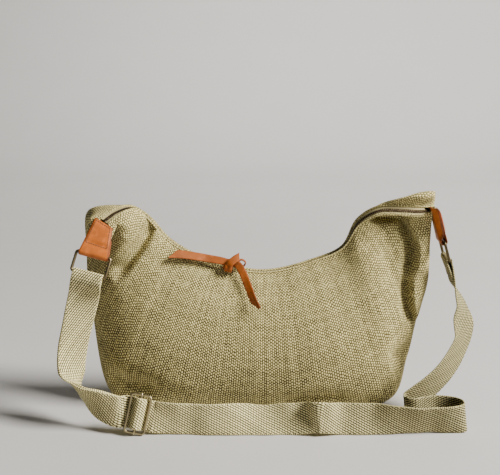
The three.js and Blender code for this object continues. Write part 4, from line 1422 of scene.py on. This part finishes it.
class MakeStrap(bpy.types.Operator):
    """Run the webbing strap from ring to ring through the slide"""

    bl_idname = "handbag.make_strap"
    bl_label = "Make strap"

    def rows(self):
        """The strap's rows from the sewn end at the right ring to the end on the slide."""
        thick = settings().webbing_thick / MM
        wrap = RING["wire"] / 2 + STRAP["ring_slack"] + thick / 2
        hold = SLIDE["bar"] + STRAP["bar_slack"] + thick / 2
        low = RING["height"] - RING["wire"]

        def round_bar(place, side, up, radius, angles, edge):
            return [(place + side * radius * math.cos(k) + up * radius * math.sin(k), edge)
                    for k in np.radians(angles)]

        rx, ry, rz, right = tab_frame(RIGHT_TAB)
        lx, ly, lz, left = tab_frame(LEFT_TAB)
        right = right - ry * low
        left = left - ly * low
        hang = unit(KEEPER_HANG)
        rows = [(right + hang * down + rz * out, -rx) for down, out in KEEPER]
        rows += round_bar(right, rz, ry, wrap, (0, 45, 90, 135, 180), -rx)
        down, out = KEEPER_FRONT
        rows.append((right + hang * down + rz * out, -rx))
        rows += [(np.array(at, float), np.array(edge, float)) for at, edge in RIGHT_ROUTE]
        sx, sy, sz, slide = slide_frame()
        rows += [(slide + sx * s + sz * out, sy) for s, out in OVER_BAR]
        s, out = LEAVES_SLIDE
        start = (slide + sx * s + sz * out, sy)
        end = (left - ly * STRAP["below_ring"], lx)
        p, a, b, _ = ribbon([start, *LEFT_ROUTE, end], 1)
        apart = STRAP["layer"] / 2
        double = list(zip(p[1:], a[1:], b[1:]))
        rows += [(q + o * apart, e) for q, e, o in double]
        rows += round_bar(left, lz, ly, wrap, (180, 135, 90, 45, 0), lx)
        rows += [(q - o * apart, e) for q, e, o in double[::-1]]
        rows += [(slide + sx * s + sz * out, sy) for s, out in UNDER_BAR]
        rows += round_bar(slide, sx, sz, hold, (-90, -135, -180, -225, -270, -300), sy)
        return rows

    def execute(self, context):
        sizes = settings()
        wide = sizes.webbing_width / MM
        thick = sizes.webbing_thick / MM
        p, a, b, _ = ribbon(self.rows(), 7)
        low = wide / 2 * abs(a[:, 2]) + thick / 2 * abs(b[:, 2])
        p[:, 2] = np.maximum(p[:, 2], low + STRAP["floor_gap"])
        p = p + b * self.waves(p)[:, None]
        p, a, b = self.slouch(p, a, b, wide / 2)
        shape = swept(p, a, b, flat_band(wide, thick, 11, STRAP["bead"]))
        add_piece("strap_webbing", shape, "twill_webbing", ["strap"], 60)
        self.sewn(p, a, b)
        return {"FINISHED"}

    def slouch(self, p, a, b, half):
        """The front run leans back in three places, with its lower edge kept on the floor."""
        x = p[:, 0]
        front = 1 - smooth(p[:, 1], -111, -105)
        degrees, place, spread = LEAN_BELL
        lean = degrees * np.exp(-(((x - place) / spread) ** 2))
        for degrees, places in LEANS:
            lean = lean + degrees * window(x, *places)
        lean = np.radians(front * lean)[:, None]
        foot = p + a * half
        forward = np.sign(b[:, 1:2] + 1e-9) * -b
        turned = a * np.cos(lean) + forward * np.sin(lean)
        face = np.cross(turned, np.cross(b, a))
        face = unit(np.where((face * b).sum(1, keepdims=True) < 0, -face, face))
        return foot - turned * half, turned, face

    def waves(self, p):
        """Soft waves where the strap lies loose in front of the bag."""
        x = p[:, 0]
        free = (1 - smooth(p[:, 1], -112, -106)) * window(x, -108, -88, 205, 230)
        return free * (0.55 * np.sin(x / 9.5 + 0.6) + 0.45 * np.sin(x / 5.9))

    def sewn(self, p, a, b):
        """Two rows of stitches across the doubled end at the right ring."""
        half = STRAP_STITCH["half"]
        k = np.linspace(-half, half, 12)[:, None]
        paths = [(p[n] + a[n] * k + b[n] * side * STRAP_STITCH["proud"], b[n] * side)
                 for n in STRAP_STITCH["rows"] for side in (-1, 1)]
        pitch = settings().stitch_pitch
        mesh = row_of_bits(paths, pitch, STRAP_STITCH["size"], "sewing_thread")
        place_piece("strap_stitches", mesh, (), 60)


class MakeStage(bpy.types.Operator):
    """Set the floor, the light and the camera"""

    bl_idname = "handbag.make_stage"
    bl_label = "Make stage"

    def execute(self, context):
        stage = context.scene.handbag_stage
        self.floor()
        for name, *lamp in LAMPS:
            self.lamp(name, getattr(stage, name), *lamp)
        world = bpy.data.worlds.new("room")
        world.use_nodes = True
        ground = world.node_tree.nodes["Background"]
        ground.inputs["Color"].default_value = ROOM_TINT
        ground.inputs["Strength"].default_value = stage.sky
        context.scene.world = world
        data = bpy.data.cameras.new("photo_view")
        data.sensor_width = SENSOR_WIDTH
        data.lens = stage.lens
        camera = bpy.data.objects.new("photo_view", data)
        camera.location = CAMERA_AT
        camera.rotation_euler = (math.pi / 2 - stage.pitch, 0, 0)
        context.scene.collection.objects.link(camera)
        context.scene.camera = camera
        return {"FINISHED"}

    def floor(self):
        """A pale floor that sweeps up far behind the bag."""
        turn = np.linspace(0, math.pi / 2, 13)
        sweep = FLOOR["sweep"]
        radius = FLOOR["radius"]
        half = FLOOR["half"]
        y = np.concatenate([[FLOOR["front"], 0.0], sweep + radius * np.sin(turn), [sweep + radius]])
        z = np.concatenate([[0.0, 0.0], radius - radius * np.cos(turn), [FLOOR["top"]]])
        z = z - FLOOR["drop"]
        points = [(x, b, c) for b, c in zip(y, z) for x in (-half, half)]
        faces = [(2 * k, 2 * k + 1, 2 * k + 3, 2 * k + 2) for k in range(len(y) - 1)]
        mesh = bpy.data.meshes.new("floor")
        mesh.from_pydata(points, [], faces)
        mesh.polygons.foreach_set("use_smooth", np.ones(len(faces), bool))
        f = Finish("floor")
        tone = palette().floor
        paint = f.mix(f.grain(f.place(), 6.0, 3.0), tone, tinted(tone, 0.94))
        mesh.materials.append(f.done({"Base Color": paint, "Roughness": 0.8}))
        ground = bpy.data.objects.new("floor", mesh)
        bpy.context.scene.collection.objects.link(ground)

    def lamp(self, name, watts, place, aim, size, tint, spread):
        """One square lamp, turned to its aim."""
        data = bpy.data.lights.new(name, "AREA")
        data.size = size
        data.spread = math.radians(spread)
        data.energy = watts
        data.color = tint
        light = bpy.data.objects.new(name, data)
        light.location = place
        way = Vector(aim) - Vector(place)
        light.rotation_euler = way.to_track_quat("-Z", "Y").to_euler()
        bpy.context.scene.collection.objects.link(light)


STEPS = (MakeStage, MakePanels, MakeZip, MakePull, MakeTabs, MakeRings, MakeSlide, MakeStrap)
GROUPS = {
    "handbag_sizes": HandbagSizes,
    "handbag_colours": HandbagColours,
    "handbag_stage": HandbagStage,
}


class HandbagPanel(bpy.types.Panel):
    """Lists the handbag's settings and steps"""

    bl_idname = "VIEW3D_PT_handbag"
    bl_label = "Handbag"
    bl_space_type = "VIEW_3D"
    bl_region_type = "UI"
    bl_category = "Handbag"

    def draw(self, context):
        for group, kind in GROUPS.items():
            box = self.layout.box()
            for name in kind.__annotations__:
                box.prop(getattr(context.scene, group), name)
        for step in STEPS:
            self.layout.operator(step.bl_idname)


CLASSES = (*GROUPS.values(), *STEPS, HandbagPanel)


def register():
    for item in CLASSES:
        bpy.utils.register_class(item)
    for name, group in GROUPS.items():
        setattr(bpy.types.Scene, name, bpy.props.PointerProperty(type=group))


def unregister():
    for name in GROUPS:
        delattr(bpy.types.Scene, name)
    for item in reversed(CLASSES):
        bpy.utils.unregister_class(item)


def main():
    register()
    for step in STEPS:
        group, name = step.bl_idname.split(".")
        getattr(getattr(bpy.ops, group), name)()


if __name__ == "__main__":
    main()
